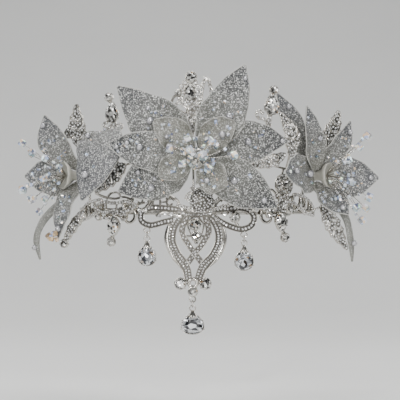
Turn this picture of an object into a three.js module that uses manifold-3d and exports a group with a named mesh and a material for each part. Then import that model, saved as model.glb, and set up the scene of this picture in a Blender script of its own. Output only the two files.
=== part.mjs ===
// A bridal crown: a curved wire frame that sits on the head, pierced and stone-set
// castings soldered along it, a large lily at the front with a smaller one at each
// side, and stone drops that hang below.
//
// Millimetres, +Z up. The wearer looks along -Y, +X is to the right of a viewer who
// faces the crown. The origin is the middle of the head, level with the band's lower edge.

import * as THREE from 'three';
import { mergeVertices } from 'three/addons/utils/BufferGeometryUtils.js';
import Module from 'manifold-3d';

const wasm = await Module();
wasm.setup();

// ---------------------------------------------------------------- main sizes

const HEAD_HALF_WIDTH = 76; // inside of the band, side to side
const HEAD_HALF_DEPTH = 92; // inside of the band, front to back
const BAND_HEIGHT = 4;
const BAND_THICKNESS = 1.6;
const BAND_END_ANGLE = 104; // degrees round from the front, each way
const SEAT_GAP = 0.3; // left between two pieces that rest on each other
const WIRE_RADIUS = 0.9;
const WIRE_SIDES = 5;
const PLATE_THICKNESS = 1.8;
const PETAL_THICKNESS = 1.3;
const PEARL_RADIUS = 2.5;
const POST_RADIUS = 3; // of the side flowers' stems
const FRONT_POST_RADIUS = 5;
const CRYSTAL_FOOT_RADIUS = 2.6;
const DEGREE = Math.PI / 180;

const V = (x, y, z) => new THREE.Vector3(x, y, z);
const UP = V(0, 0, 1);

// ---------------------------------------------------------------- solids

// Signed volume of an indexed or plain triangle geometry.
function signedVolume(geometry) {
  const position = geometry.attributes.position;
  const index = geometry.index;
  const count = index ? index.count : position.count;
  const [a, b, c] = [V(0, 0, 0), V(0, 0, 0), V(0, 0, 0)];
  let total = 0;
  for (let i = 0; i < count; i += 3) {
    const at = (k) => (index ? index.getX(i + k) : i + k);
    a.fromBufferAttribute(position, at(0));
    b.fromBufferAttribute(position, at(1));
    c.fromBufferAttribute(position, at(2));
    total += a.dot(b.cross(c)) / 6;
  }
  return total;
}

// Welds a geometry's vertices and turns its faces outwards.
function welded(geometry) {
  const bare = geometry.clone();
  for (const name of ['normal', 'uv']) {
    if (bare.attributes[name]) bare.deleteAttribute(name);
  }
  const merged = mergeVertices(bare, 1e-4);
  if (signedVolume(merged) < 0) {
    const index = merged.index;
    for (let i = 0; i < index.count; i += 3) {
      const second = index.getX(i + 1);
      index.setX(i + 1, index.getX(i + 2));
      index.setX(i + 2, second);
    }
  }
  return merged;
}

function toManifold(geometry) {
  const merged = welded(geometry);
  return new wasm.Manifold(new wasm.Mesh({
    numProp: 3,
    vertProperties: new Float32Array(merged.attributes.position.array),
    triVerts: new Uint32Array(merged.index.array),
  }));
}

function fromManifold(body) {
  const mesh = body.getMesh();
  const geometry = new THREE.BufferGeometry();
  geometry.setAttribute('position', new THREE.BufferAttribute(new Float32Array(mesh.vertProperties), 3));
  geometry.setIndex(new THREE.BufferAttribute(new Uint32Array(mesh.triVerts), 1));
  geometry.computeVertexNormals();
  return geometry;
}

// Joins a list of geometries into one body.
function fused(geometries) {
  return fromManifold(geometries.map(toManifold).reduce((sum, one) => sum.add(one)));
}

// ---------------------------------------------------------------- basic shapes

// Regular polygon of points round a centre in the X-Z plane.
function circlePoints(x, z, radius, sides, squash = 1) {
  return Array.from({ length: sides }, (_, i) => {
    const angle = (2 * Math.PI * (i + 0.5)) / sides;
    return new THREE.Vector2(x + radius * squash * Math.cos(angle), z + radius * Math.sin(angle));
  });
}

// Pear outline, point upwards, as tall and wide as given.
function pearPoints(x, z, width, height, sides = 12, sharpness = 0.7, turn = 0) {
  return Array.from({ length: sides }, (_, i) => {
    const angle = (2 * Math.PI * (i + 0.5)) / sides;
    const across = 0.5 * width * Math.sin(angle) * Math.pow(Math.abs(Math.sin(angle / 2)), sharpness) * 1.12;
    const along = 0.5 * height * Math.cos(angle);
    const [c, s] = [Math.cos(turn), Math.sin(turn)];
    return new THREE.Vector2(x + across * c - along * s, z + across * s + along * c);
  });
}

// Flat plate in the X-Z plane. Its back is at y = back and its front at back - thickness.
function plate(outline, { holes = [], thickness = PLATE_THICKNESS, back = 0 } = {}) {
  const shape = new THREE.Shape(outline);
  for (const hole of holes) shape.holes.push(new THREE.Path(hole));
  const geometry = new THREE.ExtrudeGeometry(shape, { depth: thickness, bevelEnabled: false, steps: 1 });
  geometry.rotateX(Math.PI / 2);
  geometry.translate(0, back, 0);
  return geometry;
}

// Strip of metal that follows a row of {x, z} points: its width at both ends, and its swell midway.
function strip(points, width, { endWidth = width, swell = 0, samples = 14, closed = false, thickness = PLATE_THICKNESS, back = 0 } = {}) {
  const curve = new THREE.CatmullRomCurve3(points.map((p) => V(p.x, 0, p.z)), closed, 'centripetal');
  const count = closed ? samples : samples + 1;
  const positions = [];
  for (let i = 0; i < count; i += 1) {
    const t = i / samples;
    const at = curve.getPoint(t);
    const along = curve.getTangent(t);
    const half = 0.5 * (THREE.MathUtils.lerp(width, endWidth, t) + swell * Math.sin(Math.PI * t));
    for (const [hand, y] of [[-1, back], [1, back], [1, back - thickness], [-1, back - thickness]]) {
      positions.push(at.x + hand * along.z * half, y, at.z - hand * along.x * half);
    }
  }
  const faces = [];
  for (let i = 0; i < samples; i += 1) {
    const [here, next] = [i * 4, ((i + 1) % count) * 4];
    for (let k = 0; k < 4; k += 1) {
      const turn = (k + 1) % 4;
      faces.push(here + k, here + turn, next + k, here + turn, next + turn, next + k);
    }
  }
  const end = samples * 4;
  if (!closed) faces.push(0, 3, 1, 1, 3, 2, end, end + 1, end + 3, end + 1, end + 2, end + 3);
  const geometry = new THREE.BufferGeometry();
  geometry.setAttribute('position', new THREE.Float32BufferAttribute(positions, 3));
  geometry.setIndex(faces);
  return geometry;
}

// Points of a spiral that closes in on its centre.
function spiral({ x, z, radius, inner = 0.35, turns = 1.1, start = 0, way = 1 }, count = 8) {
  return Array.from({ length: count + 1 }, (_, i) => {
    const t = i / count;
    const angle = start * DEGREE + way * 2 * Math.PI * turns * t;
    const reach = radius * THREE.MathUtils.lerp(1, inner, t);
    return { x: x + reach * Math.cos(angle), z: z + reach * Math.sin(angle) };
  });
}

// Solid made of rings of the same outline, each scaled about a centre and set at its own y.
function ringed(outline, centre, rings) {
  const count = outline.length;
  const positions = [];
  for (const ring of rings) {
    for (const point of outline) {
      positions.push(
        centre.x + (point.x - centre.x) * ring.scale,
        ring.y,
        centre.y + (point.y - centre.y) * ring.scale,
      );
    }
  }
  const faces = [];
  for (let r = 0; r + 1 < rings.length; r += 1) {
    for (let i = 0; i < count; i += 1) {
      const j = (i + 1) % count;
      const [a, b] = [r * count + i, r * count + j];
      faces.push(a, b, a + count, b, b + count, a + count);
    }
  }
  for (const [ring, flip] of [[0, true], [rings.length - 1, false]]) {
    const middle = positions.length / 3;
    positions.push(centre.x, rings[ring].y, centre.y);
    for (let i = 0; i < count; i += 1) {
      const [a, b] = [ring * count + i, ring * count + ((i + 1) % count)];
      faces.push(...(flip ? [b, a, middle] : [a, b, middle]));
    }
  }
  const geometry = new THREE.BufferGeometry();
  geometry.setAttribute('position', new THREE.Float32BufferAttribute(positions, 3));
  geometry.setIndex(faces);
  return geometry;
}

// Cut stone in its metal cup: an outline, a cup that stands proud of it, then crown and table.
const CUP_WALL = 0.5;
function setStone(outline, centre, { back = 0, cup = 2.4, crown = 1.5, table = 0.55 } = {}) {
  const size = outline.reduce((most, p) => Math.max(most, p.distanceTo(centre)), 0);
  const rim = 1 + CUP_WALL / size;
  return ringed(outline, centre, [
    { scale: rim, y: back },
    { scale: rim, y: back - cup },
    { scale: 0.92, y: back - cup },
    { scale: table, y: back - cup - crown },
  ]);
}

function roundStone(x, z, radius, options = {}) {
  const sides = options.sides ?? 8;
  return setStone(circlePoints(x, z, radius, sides), new THREE.Vector2(x, z), options);
}

function pearStone(x, z, width, height, { turn = 0, ...options } = {}) {
  const outline = pearPoints(x, z, width, height, 10, 0.7, turn);
  const middle = new THREE.Vector2(x + 0.1 * height * Math.sin(turn), z - 0.1 * height * Math.cos(turn));
  return setStone(outline, middle, options);
}

// Ball with eight sides, for pearls.
function pearl(centre, radius = PEARL_RADIUS) {
  const profile = [0, 55, 125, 180].map((d) =>
    new THREE.Vector2(d % 180 === 0 ? 0 : radius * Math.sin(d * DEGREE), -radius * Math.cos(d * DEGREE)));
  const geometry = new THREE.LatheGeometry(profile, 8);
  geometry.translate(centre.x, centre.y, centre.z);
  return geometry;
}

// Faceted crystal bead at the end of its wire: two rows of five facets and a table at each end.
const BEAD_WIRE_RADIUS = 0.45;
function wiredBead(root, centre, radius) {
  const reach = centre.distanceTo(root);
  const profile = [
    [0, 0], [BEAD_WIRE_RADIUS, 0], [BEAD_WIRE_RADIUS, reach - 0.8 * radius], [0.6 * radius, reach - 0.8 * radius],
    [radius, reach], [0.6 * radius, reach + 0.8 * radius], [0, reach + 0.8 * radius],
  ].map(([r, h]) => new THREE.Vector2(r, h));
  const geometry = new THREE.LatheGeometry(profile, 5);
  const axis = centre.clone().sub(root).normalize();
  geometry.applyQuaternion(new THREE.Quaternion().setFromUnitVectors(V(0, 1, 0), axis));
  geometry.translate(root.x, root.y, root.z);
  return geometry;
}

// Round wire through a row of points.
function wire(points, radius = WIRE_RADIUS, segments = 6, sides = WIRE_SIDES) {
  const curve = points.length === 2
    ? new THREE.LineCurve3(points[0], points[1])
    : new THREE.CatmullRomCurve3(points, false, 'centripetal');
  const section = new THREE.Shape(circlePoints(0, 0, radius, sides));
  return new THREE.ExtrudeGeometry(section, {
    steps: points.length === 2 ? 1 : segments, bevelEnabled: false, extrudePath: curve,
  });
}

// Ring of round wire. Its hole runs along the given axis.
function wireRing(centre, radius, wireRadius, axis = V(0, 1, 0), around = 9) {
  const geometry = new THREE.TorusGeometry(radius, wireRadius, 5, around);
  geometry.applyQuaternion(new THREE.Quaternion().setFromUnitVectors(UP, axis.clone().normalize()));
  geometry.translate(centre.x, centre.y, centre.z);
  return geometry;
}

// ---------------------------------------------------------------- the head and the band

// How far back of the frontmost point the head's oval lies at a given x.
function fallBack(x) {
  const share = Math.min(Math.abs(x) / HEAD_HALF_WIDTH, 0.97);
  return HEAD_HALF_DEPTH * (1 - Math.sqrt(1 - share * share));
}

// Lays a flat piece, drawn in front of the head, round the head's oval.
function laidRoundHead(geometry) {
  const position = geometry.attributes.position;
  for (let i = 0; i < position.count; i += 1) {
    position.setY(i, position.getY(i) + fallBack(position.getX(i)));
  }
  geometry.computeVertexNormals();
  return geometry;
}

// Point of the oval grown outwards by `out`, at an angle from the front (degrees) and a height.
function onOval(angle, z, out = 0) {
  const a = HEAD_HALF_WIDTH + out;
  const b = HEAD_HALF_DEPTH + out;
  return V(a * Math.sin(angle * DEGREE), -b * Math.cos(angle * DEGREE), z);
}

const BAND_FRONT = -(HEAD_HALF_DEPTH + BAND_THICKNESS); // y of the band's front face
const BAND_SEGMENTS = 28;
const CREST_HEIGHT = 34; // of the second wire, which carries the flowers, at the front
const CREST_DROP = 10; // how much lower it runs at its ends
const CREST_END_ANGLE = 70;
const FLOWER_ANGLE = 62; // of the side flowers, each way from the front
const CREST_SEGMENTS = 9;

function bandStrip() {
  const positions = [];
  const faces = [];
  for (let i = 0; i <= BAND_SEGMENTS; i += 1) {
    const angle = THREE.MathUtils.lerp(-BAND_END_ANGLE, BAND_END_ANGLE, i / BAND_SEGMENTS);
    for (const [out, z] of [[0, 0], [BAND_THICKNESS, 0], [BAND_THICKNESS, BAND_HEIGHT], [0, BAND_HEIGHT]]) {
      positions.push(...onOval(angle, z, out).toArray());
    }
  }
  for (let i = 0; i < BAND_SEGMENTS; i += 1) {
    for (let k = 0; k < 4; k += 1) {
      const [a, b] = [i * 4 + k, i * 4 + ((k + 1) % 4)];
      faces.push(a, b, a + 4, b, b + 4, a + 4);
    }
  }
  const end = BAND_SEGMENTS * 4;
  faces.push(0, 3, 1, 1, 3, 2, end, end + 1, end + 3, end + 1, end + 2, end + 3);
  const geometry = new THREE.BufferGeometry();
  geometry.setAttribute('position', new THREE.Float32BufferAttribute(positions, 3));
  geometry.setIndex(faces);
  return geometry;
}

// Point of the crest wire's centre line.
function crestPoint(angle) {
  return onOval(angle, CREST_HEIGHT - CREST_DROP * (angle / FLOWER_ANGLE) ** 2, BAND_THICKNESS / 2);
}

// Straight wire from the band, or from the crest wire, to a seat.
function stem({ from, angle, seat }) {
  const root = from === 'crest' ? crestPoint(angle) : onOval(angle, BAND_HEIGHT / 2, BAND_THICKNESS / 2);
  return wire([root, seat]);
}

// ---------------------------------------------------------------- petals

// Half width of a lily petal along its length, as a share of its greatest half width.
const PETAL_OUTLINE = [
  { along: 0.0, half: 0.2 },
  { along: 0.12, half: 0.6 },
  { along: 0.28, half: 0.93 },
  { along: 0.42, half: 1.0 },
  { along: 0.6, half: 0.88 },
  { along: 0.8, half: 0.54 },
  { along: 1.0, half: 0.05 },
];
const LATE_OUTLINE = [ // widest past its middle
  { along: 0.0, half: 0.2 },
  { along: 0.2, half: 0.5 },
  { along: 0.4, half: 0.9 },
  { along: 0.58, half: 1.0 },
  { along: 0.8, half: 0.68 },
  { along: 1.0, half: 0.05 },
];
const HOOD_OUTLINE = [ // folds over at two fifths of its length
  { along: 0.0, half: 0.2 },
  { along: 0.25, half: 0.32 },
  { along: 0.38, half: 0.4 },
  { along: 0.5, half: 0.72 },
  { along: 0.62, half: 1.0 },
  { along: 0.75, half: 0.98 },
  { along: 0.88, half: 0.7 },
  { along: 1.0, half: 0.05 },
];
const BROAD_OUTLINE = [ // broad from its foot on
  { along: 0.0, half: 0.24 },
  { along: 0.2, half: 0.84 },
  { along: 0.4, half: 1.0 },
  { along: 0.6, half: 0.94 },
  { along: 0.8, half: 0.62 },
  { along: 1.0, half: 0.08 },
];
const ROUND_OUTLINE = [
  { along: 0.0, half: 0.34 },
  { along: 0.2, half: 0.78 },
  { along: 0.42, half: 1.0 },
  { along: 0.65, half: 0.94 },
  { along: 0.85, half: 0.6 },
  { along: 1.0, half: 0.12 },
];
const SEPAL_OUTLINE = [
  { along: 0, half: 0.7 },
  { along: 0.3, half: 1 },
  { along: 0.75, half: 0.8 },
  { along: 1, half: 0.2 },
];
const PETAL_ROWS = 5;
const HOOD_ROWS = 8;
const PETAL_COLUMNS = 4;
const SEPAL_COLUMNS = 2;

function halfWidth(outline, along) {
  const next = outline.findIndex((row) => row.along >= along);
  if (next <= 0) return outline[0].half;
  const [low, high] = [outline[next - 1], outline[next]];
  const t = (along - low.along) / (high.along - low.along);
  return THREE.MathUtils.lerp(low.half, high.half, t);
}

// Places on a petal: `u` runs from base to tip and `s` from edge to edge.
function petalSurface(row, spine) {
  return (u, s) => {
    const at = spine.getPoint(u);
    const along = spine.getTangent(u);
    const side = row.side.clone().addScaledVector(along, -row.side.dot(along)).normalize();
    const front = new THREE.Vector3().crossVectors(side, along).normalize();
    const turn = (row.twist ?? 0) * DEGREE * (u - 0.5);
    side.applyAxisAngle(along, turn);
    front.applyAxisAngle(along, turn);
    const half = 0.5 * row.width * halfWidth(row.outline ?? PETAL_OUTLINE, u);
    const lift = (row.cup ?? 0) * s * s * (half / (0.5 * row.width))
      + (row.crease ?? 0.5) * Math.abs(s) * Math.sin(u * Math.PI);
    return at.addScaledVector(side, s * half).addScaledVector(front, lift);
  };
}

// Closed shell of the petal's thickness, both faces and the edge, with its pearls fused on.
function petalGeometry(row, spine) {
  const surface = petalSurface(row, spine);
  const step = 1e-3;
  const normalAt = (u, s) => {
    const u0 = Math.min(u, 1 - step);
    const s0 = Math.min(s, 1 - step);
    const across = surface(u0, s0 + step).sub(surface(u0, s0));
    const along = surface(u0 + step, s0).sub(surface(u0, s0));
    return across.cross(along).normalize();
  };
  const positions = [];
  const columns = row.outline === SEPAL_OUTLINE ? SEPAL_COLUMNS : PETAL_COLUMNS;
  const wide = columns + 1;
  const rowCount = row.outline === HOOD_OUTLINE ? HOOD_ROWS : PETAL_ROWS;
  const sheet = (rowCount + 1) * wide;
  for (const face of [0.5, -0.5]) {
    for (let i = 0; i <= rowCount; i += 1) {
      for (let j = 0; j <= columns; j += 1) {
        const u = i / rowCount;
        const s = (2 * j) / columns - 1;
        const at = surface(u, s).addScaledVector(normalAt(u, s), face * PETAL_THICKNESS);
        positions.push(at.x, at.y, at.z);
      }
    }
  }
  const faces = [];
  const quad = (a, b, c, d) => faces.push(a, b, c, a, c, d);
  for (let i = 0; i < rowCount; i += 1) {
    for (let j = 0; j < columns; j += 1) {
      const a = i * wide + j;
      quad(a, a + 1, a + wide + 1, a + wide);
      quad(sheet + a, sheet + a + wide, sheet + a + wide + 1, sheet + a + 1);
    }
  }
  for (let j = 0; j < columns; j += 1) {
    const end = rowCount * wide + j;
    quad(j, sheet + j, sheet + j + 1, j + 1);
    quad(end, end + 1, sheet + end + 1, sheet + end);
  }
  for (let i = 0; i < rowCount; i += 1) {
    const [a, b] = [i * wide, i * wide + columns];
    quad(a, a + wide, sheet + a + wide, sheet + a);
    quad(b, sheet + b, sheet + b + wide, b + wide);
  }
  const shell = new THREE.BufferGeometry();
  shell.setAttribute('position', new THREE.Float32BufferAttribute(positions, 3));
  shell.setIndex(faces);
  const pearls = (row.pearls ?? []).map(({ u, s }) =>
    pearl(surface(u, s).addScaledVector(normalAt(u, s), 0.5 * PETAL_THICKNESS + 0.6 * PEARL_RADIUS)));
  return fused([shell, ...pearls]);
}

// One petal of a flower: it starts 0.3 mm off the flower's post and ends at its tip.
function flowerPetal(flower, row) {
  const centre = flower.centre.clone().addScaledVector(flower.axis, row.level);
  const reach = row.toward ?? row.tip;
  const radial = reach.clone().sub(centre);
  radial.addScaledVector(flower.axis, -radial.dot(flower.axis)).normalize();
  const base = centre.clone().addScaledVector(radial, flower.post + SEAT_GAP + (row.clear ?? 0));
  const tip = row.tip.clone().sub(base);
  const face = row.face ?? flower.axis;
  const side = row.side ?? new THREE.Vector3().crossVectors(tip, face).normalize();
  const middles = row.through
    ? row.through.map((point) => point.clone().sub(base))
    : [tip.clone().multiplyScalar(0.5).addScaledVector(face, row.bow ?? 0).addScaledVector(side, row.sweep ?? 0)];
  const spine = new THREE.CatmullRomCurve3([V(0, 0, 0), ...middles, tip], false, 'centripetal');
  return { name: row.name, geometry: petalGeometry({ ...row, side }, spine), base };
}

// Turned post that carries a flower: a round foot and a stem, seated foot first.
function flowerPost(flower, length, footRadius = 6.5, throat = null) {
  const profile = [
    new THREE.Vector2(0, 0), new THREE.Vector2(footRadius, 0), new THREE.Vector2(footRadius, 1.6),
    new THREE.Vector2(flower.post, 2.4), new THREE.Vector2(flower.post, length), new THREE.Vector2(0, length),
  ];
  const pieces = [new THREE.LatheGeometry(profile, 10)];
  if (throat) {
    const { from, radius, depth, wall } = throat;
    pieces.push(new THREE.LatheGeometry([
      new THREE.Vector2(0, from), new THREE.Vector2(flower.post + 0.5, from),
      new THREE.Vector2(radius * 0.8, from + depth * 0.45), new THREE.Vector2(radius, from + depth),
      new THREE.Vector2(radius - wall, from + depth), new THREE.Vector2(radius * 0.72 - wall, from + depth * 0.55),
      new THREE.Vector2(CRYSTAL_FOOT_RADIUS + SEAT_GAP, from + depth * 0.3), new THREE.Vector2(0, from + depth * 0.3),
    ], 12));
  }
  const geometry = fused(pieces);
  geometry.applyQuaternion(new THREE.Quaternion().setFromUnitVectors(V(0, 1, 0), flower.axis));
  return geometry;
}

// Spray of wired crystal beads: rows of bead places measured from the spray's foot.
function crystalSpray(foot, axis, rows) {
  const pieces = [new THREE.LatheGeometry([
    new THREE.Vector2(0, 0), new THREE.Vector2(CRYSTAL_FOOT_RADIUS, 0),
    new THREE.Vector2(CRYSTAL_FOOT_RADIUS, 1.8), new THREE.Vector2(0, 1.8),
  ], 8)];
  pieces[0].applyQuaternion(new THREE.Quaternion().setFromUnitVectors(V(0, 1, 0), axis));
  rows.forEach((row, i) => {
    const at = V(row.x, row.y, row.z).sub(foot);
    const out = at.clone().addScaledVector(axis, -at.dot(axis)).normalize();
    const root = out.multiplyScalar(i % 2 ? 1.9 : 1).addScaledVector(axis, 0.9);
    pieces.push(wiredBead(root, at, row.radius));
  });
  return fused(pieces);
}

// ---------------------------------------------------------------- pierced castings

// Half width of a pavé leaf along its length, as a share of its half width.
const LEAF_OUTLINE = [
  { along: 0.0, half: 0.25 },
  { along: 0.2, half: 0.8 },
  { along: 0.4, half: 1.0 },
  { along: 0.65, half: 0.8 },
  { along: 0.85, half: 0.45 },
  { along: 1.0, half: 0.12 },
];

// Leaf with notched edges and a slanting slot at each side of the rib between its lobes.
function leafPlate({ length, width, lobes, bow, notch = 0.22, bend = 0 }) {
  const edge = [];
  for (let i = 0; i < lobes; i += 1) {
    const [low, high] = [i / lobes, (i + 0.72) / lobes];
    edge.push({ u: low, half: halfWidth(LEAF_OUTLINE, low) * (1 - notch) });
    edge.push({ u: high, half: halfWidth(LEAF_OUTLINE, high) });
  }
  edge.push({ u: 1, half: LEAF_OUTLINE.at(-1).half });
  const place = (u, share) => new THREE.Vector2(
    0.5 * width * share + bend * Math.sin(Math.PI * u), length * u);
  const outline = [
    ...edge.map((row) => place(row.u, row.half)),
    ...edge.map((row) => place(row.u, -row.half)).reverse(),
  ];
  const holes = [];
  for (let i = 1; i < lobes - 1; i += 1) {
    for (const hand of [-1, 1]) {
      const u = (i + 0.08) / lobes;
      const reach = halfWidth(LEAF_OUTLINE, u);
      holes.push([
        place(u, hand * 0.16), place(u + 0.035, hand * 0.16),
        place(u + 0.06 + 0.04, hand * reach * 0.6), place(u + 0.06, hand * reach * 0.62),
      ]);
    }
  }
  const geometry = plate(outline, { holes });
  const position = geometry.attributes.position;
  for (let i = 0; i < position.count; i += 1) {
    const u = THREE.MathUtils.clamp(position.getZ(i) / length, 0, 1);
    position.setY(i, position.getY(i) - bow * Math.sin(Math.PI * u));
  }
  return geometry;
}

// Turns a piece drawn facing the front so that it faces an azimuth (degrees, + to the right).
const facing = (azimuth) => V(Math.sin(azimuth * DEGREE), -Math.cos(azimuth * DEGREE), 0);

// Frame whose z runs along a direction and whose front looks as near `face` as it can.
function frameAlong(direction, face) {
  const z = direction.clone().normalize();
  const y = face.clone().negate().addScaledVector(z, face.dot(z)).normalize();
  return new THREE.Matrix4().makeBasis(new THREE.Vector3().crossVectors(y, z), y, z);
}

// Wraps a piece drawn in the X-Z plane round the oval from an angle, x being the way along it.
function wrapped(geometry, angle, out) {
  const pace = (at) => Math.hypot(HEAD_HALF_WIDTH * Math.cos(at), HEAD_HALF_DEPTH * Math.sin(at));
  const start = angle * DEGREE;
  const position = geometry.attributes.position;
  for (let i = 0; i < position.count; i += 1) {
    const x = position.getX(i);
    const half = start + (0.5 * x) / pace(start);
    const at = onOval((start + x / pace(half)) / DEGREE, position.getZ(i), out - position.getY(i));
    position.setXYZ(i, at.x, at.y, at.z);
  }
  geometry.computeVertexNormals();
  return geometry;
}

// ---------------------------------------------------------------- materials

const MATERIALS = {
  metal: { color: '#c8c7c2', roughness: 0.25, metalness: 1 },
  pave: { color: '#d8d7d2', roughness: 0.2, metalness: 0.9 },
  petal: { color: '#b4b3a8', roughness: 0.6, metalness: 0 },
  throat: { color: '#b9b5a4', roughness: 0.45, metalness: 0 },
  crystal: { color: '#dfe6ee', roughness: 0.05, metalness: 0 },
};

const crown = new THREE.Group();
crown.name = 'bridal_crown';

function add(name, geometry, material, place = null) {
  const mesh = new THREE.Mesh(geometry, new THREE.MeshStandardMaterial(MATERIALS[material]));
  mesh.name = name;
  if (place) mesh.applyMatrix4(place);
  crown.add(mesh);
  return mesh;
}

// ---------------------------------------------------------------- front ornament

const ORNAMENT_BACK = BAND_FRONT - 1.5 * SEAT_GAP;
const OUTER_RAIL = { width: 5.4, endWidth: 4.4, swell: 2.2, samples: 10 };
const INNER_RAIL = { width: 3.8, samples: 7 };
const LOOP_WIDTH = 3.4;
const LUG_RADIUS = 1.8;
const LUG_WIRE = 0.45;
const LYRE_FOOT = { x: -1.8, z: -41.7 };
const MAIN_LUG = { x: -2.1, z: -50.9 };
const SIDE_LUGS = { left: { x: -29.8, z: -9.3 }, right: { x: 29.2, z: -11.9 } };
const LUG_Y = -PLATE_THICKNESS / 2; // in the flat piece, whose back is y = 0

const LYRE_RAILS = [
  { ...OUTER_RAIL, path: [[-8.7, 1], [-14.3, -7.3], [-15.7, -15.1], [-12.1, -24.2], [-6.4, -31.4], [-4.4, -40]] },
  { ...OUTER_RAIL, path: [[8.2, 1], [13.7, -7.3], [15.1, -15.1], [11.5, -24.2], [4.6, -31.4], [1, -40]] },
  { ...INNER_RAIL, path: [[-5.4, 0], [-8.5, -10.3], [-4.8, -17.5], [-0.8, -23.2], [4.6, -30.4]] },
  { ...INNER_RAIL, path: [[5.4, 0], [7.6, -10.3], [3.9, -17.5], [-0.8, -23.2], [-6, -30.4]] },
  { width: LOOP_WIDTH, samples: 6, path: [[-12, 1.6], [-4, 0.2], [4, 0.2], [12, 1.6]] },
];
const BOW_LOOPS = [
  { path: [[-7.5, 2], [-18.7, 4], [-27.8, 4.2], [-33.4, 1], [-33, -4], [-27.8, -6.3], [-19.9, -4.5], [-12.4, -2.3]] },
  { path: [[8.5, 1.8], [20.5, 3.8], [30.1, 3.6], [35.2, -0.8], [33.8, -6.3], [28.3, -8.7], [20.5, -6.9], [13, -2.8]] },
];
const rows = (list) => list.map(([x, z]) => ({ x, z }));

const ornament = [];
for (const { path, width, ...shape } of LYRE_RAILS) ornament.push(strip(rows(path), width, shape));
for (const loop of BOW_LOOPS) ornament.push(strip(rows(loop.path), LOOP_WIDTH, { samples: 14, closed: true }));
ornament.push(
  strip(rows([[-24.5, -0.8], [-20, 1.2], [-15, 0.6], [-9.5, -1]]), 1.6, { endWidth: 3.6, samples: 6 }),
  strip(rows([[26, 2.8], [22.6, 0.4], [23.4, -3], [25.5, -6.6]]), 1.8, { samples: 6 }),
  strip(rows([[-29, 4.4], [-25.4, 9.4], [-18.6, 11.6], [-12.2, 9.6], [-8.2, 3]]), 1.8, { samples: 9 }),
  strip(spiral({ x: -15.6, z: 7.2, radius: 3, turns: 0.9, start: 30, way: 1 }), 1.5, { samples: 7 }),
  strip(rows([[-22.4, 11], [-21.6, 7.4], [-22.6, 4]]), 1.6, { samples: 2 }),
  strip(rows([[30.6, 3.8], [28, 8.6], [21.4, 10.8], [14.2, 8.8], [9.6, 2.2]]), 1.8, { samples: 9 }),
  strip(spiral({ x: 17.4, z: 6.6, radius: 3, turns: 0.9, start: 150, way: -1 }), 1.5, { samples: 7 }),
  strip(rows([[24.6, 10.4], [23.8, 7], [24.6, 3.4]]), 1.6, { samples: 2 }),
  roundStone(23.6, -1.6, 2.9),
  roundStone(-0.6, -5.8, 3.4),
  roundStone(0.2, -13, 2.9),
  strip(rows([[-0.6, -2], [0, -16.5]]), 2, { samples: 1 }),
  strip(rows([[-6, -12.8], [6, -12.8]]), 1.4, { samples: 1 }),
  plate(circlePoints(LYRE_FOOT.x, LYRE_FOOT.z, 4.2, 12), { holes: [circlePoints(LYRE_FOOT.x, LYRE_FOOT.z + 0.6, 1.2, 8)] }),
  roundStone(-9.4, -41.5, 3.4),
  roundStone(5.6, -41.5, 3.4),
  roundStone(-1.9, -46.4, 2.8),
);
const lugs = [MAIN_LUG, SIDE_LUGS.left, SIDE_LUGS.right].map(({ x, z }) =>
  wireRing(V(x, LUG_Y, z), LUG_RADIUS, LUG_WIRE));
const frontOrnament = laidRoundHead(fused([...ornament, ...lugs]));
frontOrnament.translate(0, ORNAMENT_BACK, 0);
for (const lug of [MAIN_LUG, SIDE_LUGS.left, SIDE_LUGS.right]) lug.y = ORNAMENT_BACK + LUG_Y + fallBack(lug.x);
add('front_ornament', frontOrnament, 'metal');

// ---------------------------------------------------------------- drops

const JUMP_RADIUS = 2.05;
const JUMP_WIRE = 0.4;
const EYE_RADIUS = 1.7;
const EYE_WIRE = 0.4;

// How far a drop's eye hangs under its lug, with play at both ends of the jump ring.
const EYE_FALL = 5.3;

// Drop that hangs from its eye: the eye, a cap and a pear stone cut on both faces.
function dropStone({ width, height, capRadius }) {
  const top = -EYE_RADIUS + 0.2;
  const outline = pearPoints(0, top - 1.6 - 0.5 * height, width, height, 10, 0.62);
  const middle = new THREE.Vector2(0, top - 1.6 - 0.62 * height);
  const half = 0.26 * width;
  return fused([
    wireRing(V(0, 0, 0), EYE_RADIUS, EYE_WIRE),
    new THREE.LatheGeometry([
      new THREE.Vector2(0, top - 4.6), new THREE.Vector2(capRadius, top - 4.2),
      new THREE.Vector2(capRadius * 0.75, top - 1.6), new THREE.Vector2(0, top),
    ], 8).rotateX(Math.PI / 2),
    ringed(outline, middle, [
      { scale: 0.3, y: half }, { scale: 0.97, y: 0.5 }, { scale: 1, y: 0.3 },
      { scale: 1, y: -0.5 }, { scale: 0.88, y: -half * 0.6 }, { scale: 0.5, y: -half },
    ]),
  ]);
}

const DROPS = [
  { name: 'left', lug: SIDE_LUGS.left, width: 11.4, height: 13.2, capRadius: 2.4 },
  { name: 'right', lug: SIDE_LUGS.right, width: 11.8, height: 13.4, capRadius: 2.4 },
  { name: 'main', lug: MAIN_LUG, width: 14.6, height: 12.6, capRadius: 2.8 },
];
for (const drop of DROPS) {
  const { x, y, z } = drop.lug;
  const ring = add(`${drop.name}_jump_ring`, wireRing(V(0, 0, 0), JUMP_RADIUS, JUMP_WIRE, V(1, 0, 0)), 'metal');
  ring.position.set(x, y, z - 0.5 * EYE_FALL);
  const stone = add(`${drop.name}_drop`, dropStone(drop), 'crystal');
  stone.position.set(x, y, z - EYE_FALL);
}

// ---------------------------------------------------------------- finials, fan and leaves

const FOOT_RISE = 1.2; // how far a piece seated on the band stands off it, on a round foot

function foot(z = 0, radius = 1.5) {
  return plate(circlePoints(0, z, radius, 8), { thickness: FOOT_RISE + 0.6 });
}
const raised = { back: -FOOT_RISE };

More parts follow.
